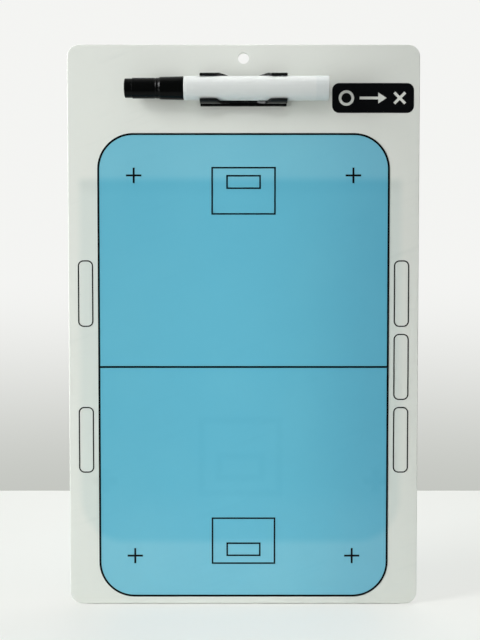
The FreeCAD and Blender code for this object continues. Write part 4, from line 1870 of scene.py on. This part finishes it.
@dataclass
class Studio:
    """Pale table, plain soft light, backdrop tones and the camera.

    Sizes are metres and angles degrees. The wall's shade rises between two angles above the level, and the
    front fades into the wall between two depths of a view's unit direction.
    """

    table_back: float = 0.36
    table_front: float = 0.31
    table_reach: float = 3.0
    table_thickness: float = 0.03
    table_edge: float = 0.004
    foot_gap: float = 0.00035
    foot_corner: float = 0.012
    ambient: float = 0.22
    ambient_tone: Colour = (1.0, 0.97, 0.97)
    wall_foot_tone: Colour = (0.545, 0.560, 0.525)
    wall_tone: Colour = (0.905, 0.908, 0.890)
    wall_shade: Range = (-14.0, 1.0)
    front_tone: Colour = (0.22, 0.22, 0.217)
    front_fade: Range = (-0.55, 0.05)
    key_tint: Colour = (0.975, 1.0, 0.99)
    soft_tint: Colour = (1.0, 1.0, 0.985)
    camera_place: Place = (-0.0025, -0.6382, -0.1627)
    camera_pitch: float = 2.05
    lens: float = 50.0
    sensor: float = 36.0

    def table(self) -> None:
        """Table top: a rounded rectangle in the YZ plane, carried along X."""
        top = float(CAD_BOX[0][2]) - self.foot_gap
        corners = [
            Corner(-self.table_front, top, self.table_edge),
            Corner(self.table_back, top, self.table_edge),
            Corner(self.table_back, top - self.table_thickness, self.table_edge),
            Corner(-self.table_front, top - self.table_thickness, self.table_edge),
        ]
        outline = rounded(corners).points
        sides = np.array((-self.table_reach, self.table_reach))
        places = np.empty((len(sides), len(outline), 3))
        places[..., 0] = sides[:, None]
        places[..., 1:] = outline
        table = carried(places / MM, np.zeros(places.shape[:2])).place("table_top")
        foot = Span.of("board_sheet")
        finish = TableFinish(
            name="pale_table",
            colour=(0.800, 0.815, 0.785),
            roughness=0.34,
            specular=0.5,
            faint=(0.785, 0.800, 0.770),
            tone=(0.930, 0.945, 0.912),
            evenness=0.5,
            foot_middle=foot.middle[1],
            foot_depth=foot.half[1],
            foot_width=foot.half[0] - self.foot_corner / MM,
            foot_level=top / MM,
        )
        table.data.materials.append(finish.material())

    def backdrop(self) -> None:
        """World: a plain ambient for diffuse light, and a pale backdrop by direction for what is seen."""
        world = bpy.data.worlds.new("backdrop")
        world.use_nodes = True
        world.node_tree.nodes.clear()
        graph = Graph(world.node_tree)
        _, depth, height = graph.parts(graph.add("ShaderNodeTexCoord").outputs["Generated"])
        shade = graph.rise(height, *(math.sin(math.radians(angle)) for angle in self.wall_shade))
        wall = graph.mix(shade, self.wall_foot_tone, self.wall_tone)
        rear = graph.rise(depth, *self.front_fade)
        eye = graph.add("ShaderNodeLightPath").outputs["Is Camera Ray"]
        seen = graph.mix(graph.math(Op.MOST, rear, eye), self.front_tone, wall)
        dim = graph.add("ShaderNodeBackground", {"Color": self.ambient_tone, "Strength": self.ambient})
        pale = graph.add("ShaderNodeBackground", {"Color": seen, "Strength": 1.0})
        both = graph.mix_shaders(seen_directly(graph), dim.outputs[0], pale.outputs[0])
        graph.add("ShaderNodeOutputWorld", {"Surface": both})
        bpy.context.scene.world = world

    def lights(self) -> None:
        """A large key at the upper left, and soft light from above and from behind.

        A weak narrow light in front lifts the sheet's middle. The glint is a tall strip that only glossy
        surfaces see.
        """
        cool, warm = self.key_tint, self.soft_tint
        matt = Sight.MATT
        for box in (
            Softbox("key_light", (-1.5, -0.66, 0.17), (0.0, 0.0, 0.05), (0.5, 1.8), 39.0, cool),
            Softbox("top_light", (0.30, 0.10, 1.1), (0.10, 0.05, -0.39), (0.9, 0.9), 11.0, warm, matt),
            Softbox("back_light", (-0.10, 1.45, -0.13), (0.0, 0.0, -0.19), (0.6, 0.4), 6.0, warm, matt),
            Softbox(
                "middle_light", (-0.05, -0.8, 0.35), (0.0, 0.0, -0.10), (0.12, 0.6), 0.033, WHITE, matt, 12.0
            ),
            Softbox(
                "glint", (-0.62, -0.40, 0.52), (-0.06, -0.01, -0.02), (0.25, 1.1), 15.0, sight=Sight.GLOSS
            ),
        ):
            box.hang()

    def camera(self) -> None:
        """Camera at the photograph's viewing angle."""
        data = bpy.data.cameras.new("photo_camera")
        data.lens = self.lens
        data.sensor_width = self.sensor
        camera = bpy.data.objects.new("photo_camera", data)
        camera.location = self.camera_place
        camera.rotation_euler = (math.pi / 2 - math.radians(self.camera_pitch), 0.0, 0.0)
        bpy.context.scene.collection.objects.link(camera)
        bpy.context.scene.camera = camera

    def build(self) -> None:
        """Sets up everything that isn't part of the object."""
        self.table()
        self.backdrop()
        self.lights()
        self.camera()
        bpy.context.scene.view_settings.view_transform = "Standard"


def main() -> None:
    """Builds the sub-assemblies in order, then the studio."""
    logging.basicConfig(level=logging.INFO, format="%(message)s")
    PrintedSheet().dress()
    for assembly in (MarkerClip(), Marker(), Cap(), Studio()):
        assembly.build()
        LOG.info("%s is built", type(assembly).__name__)


if __name__ == "__main__":
    main()
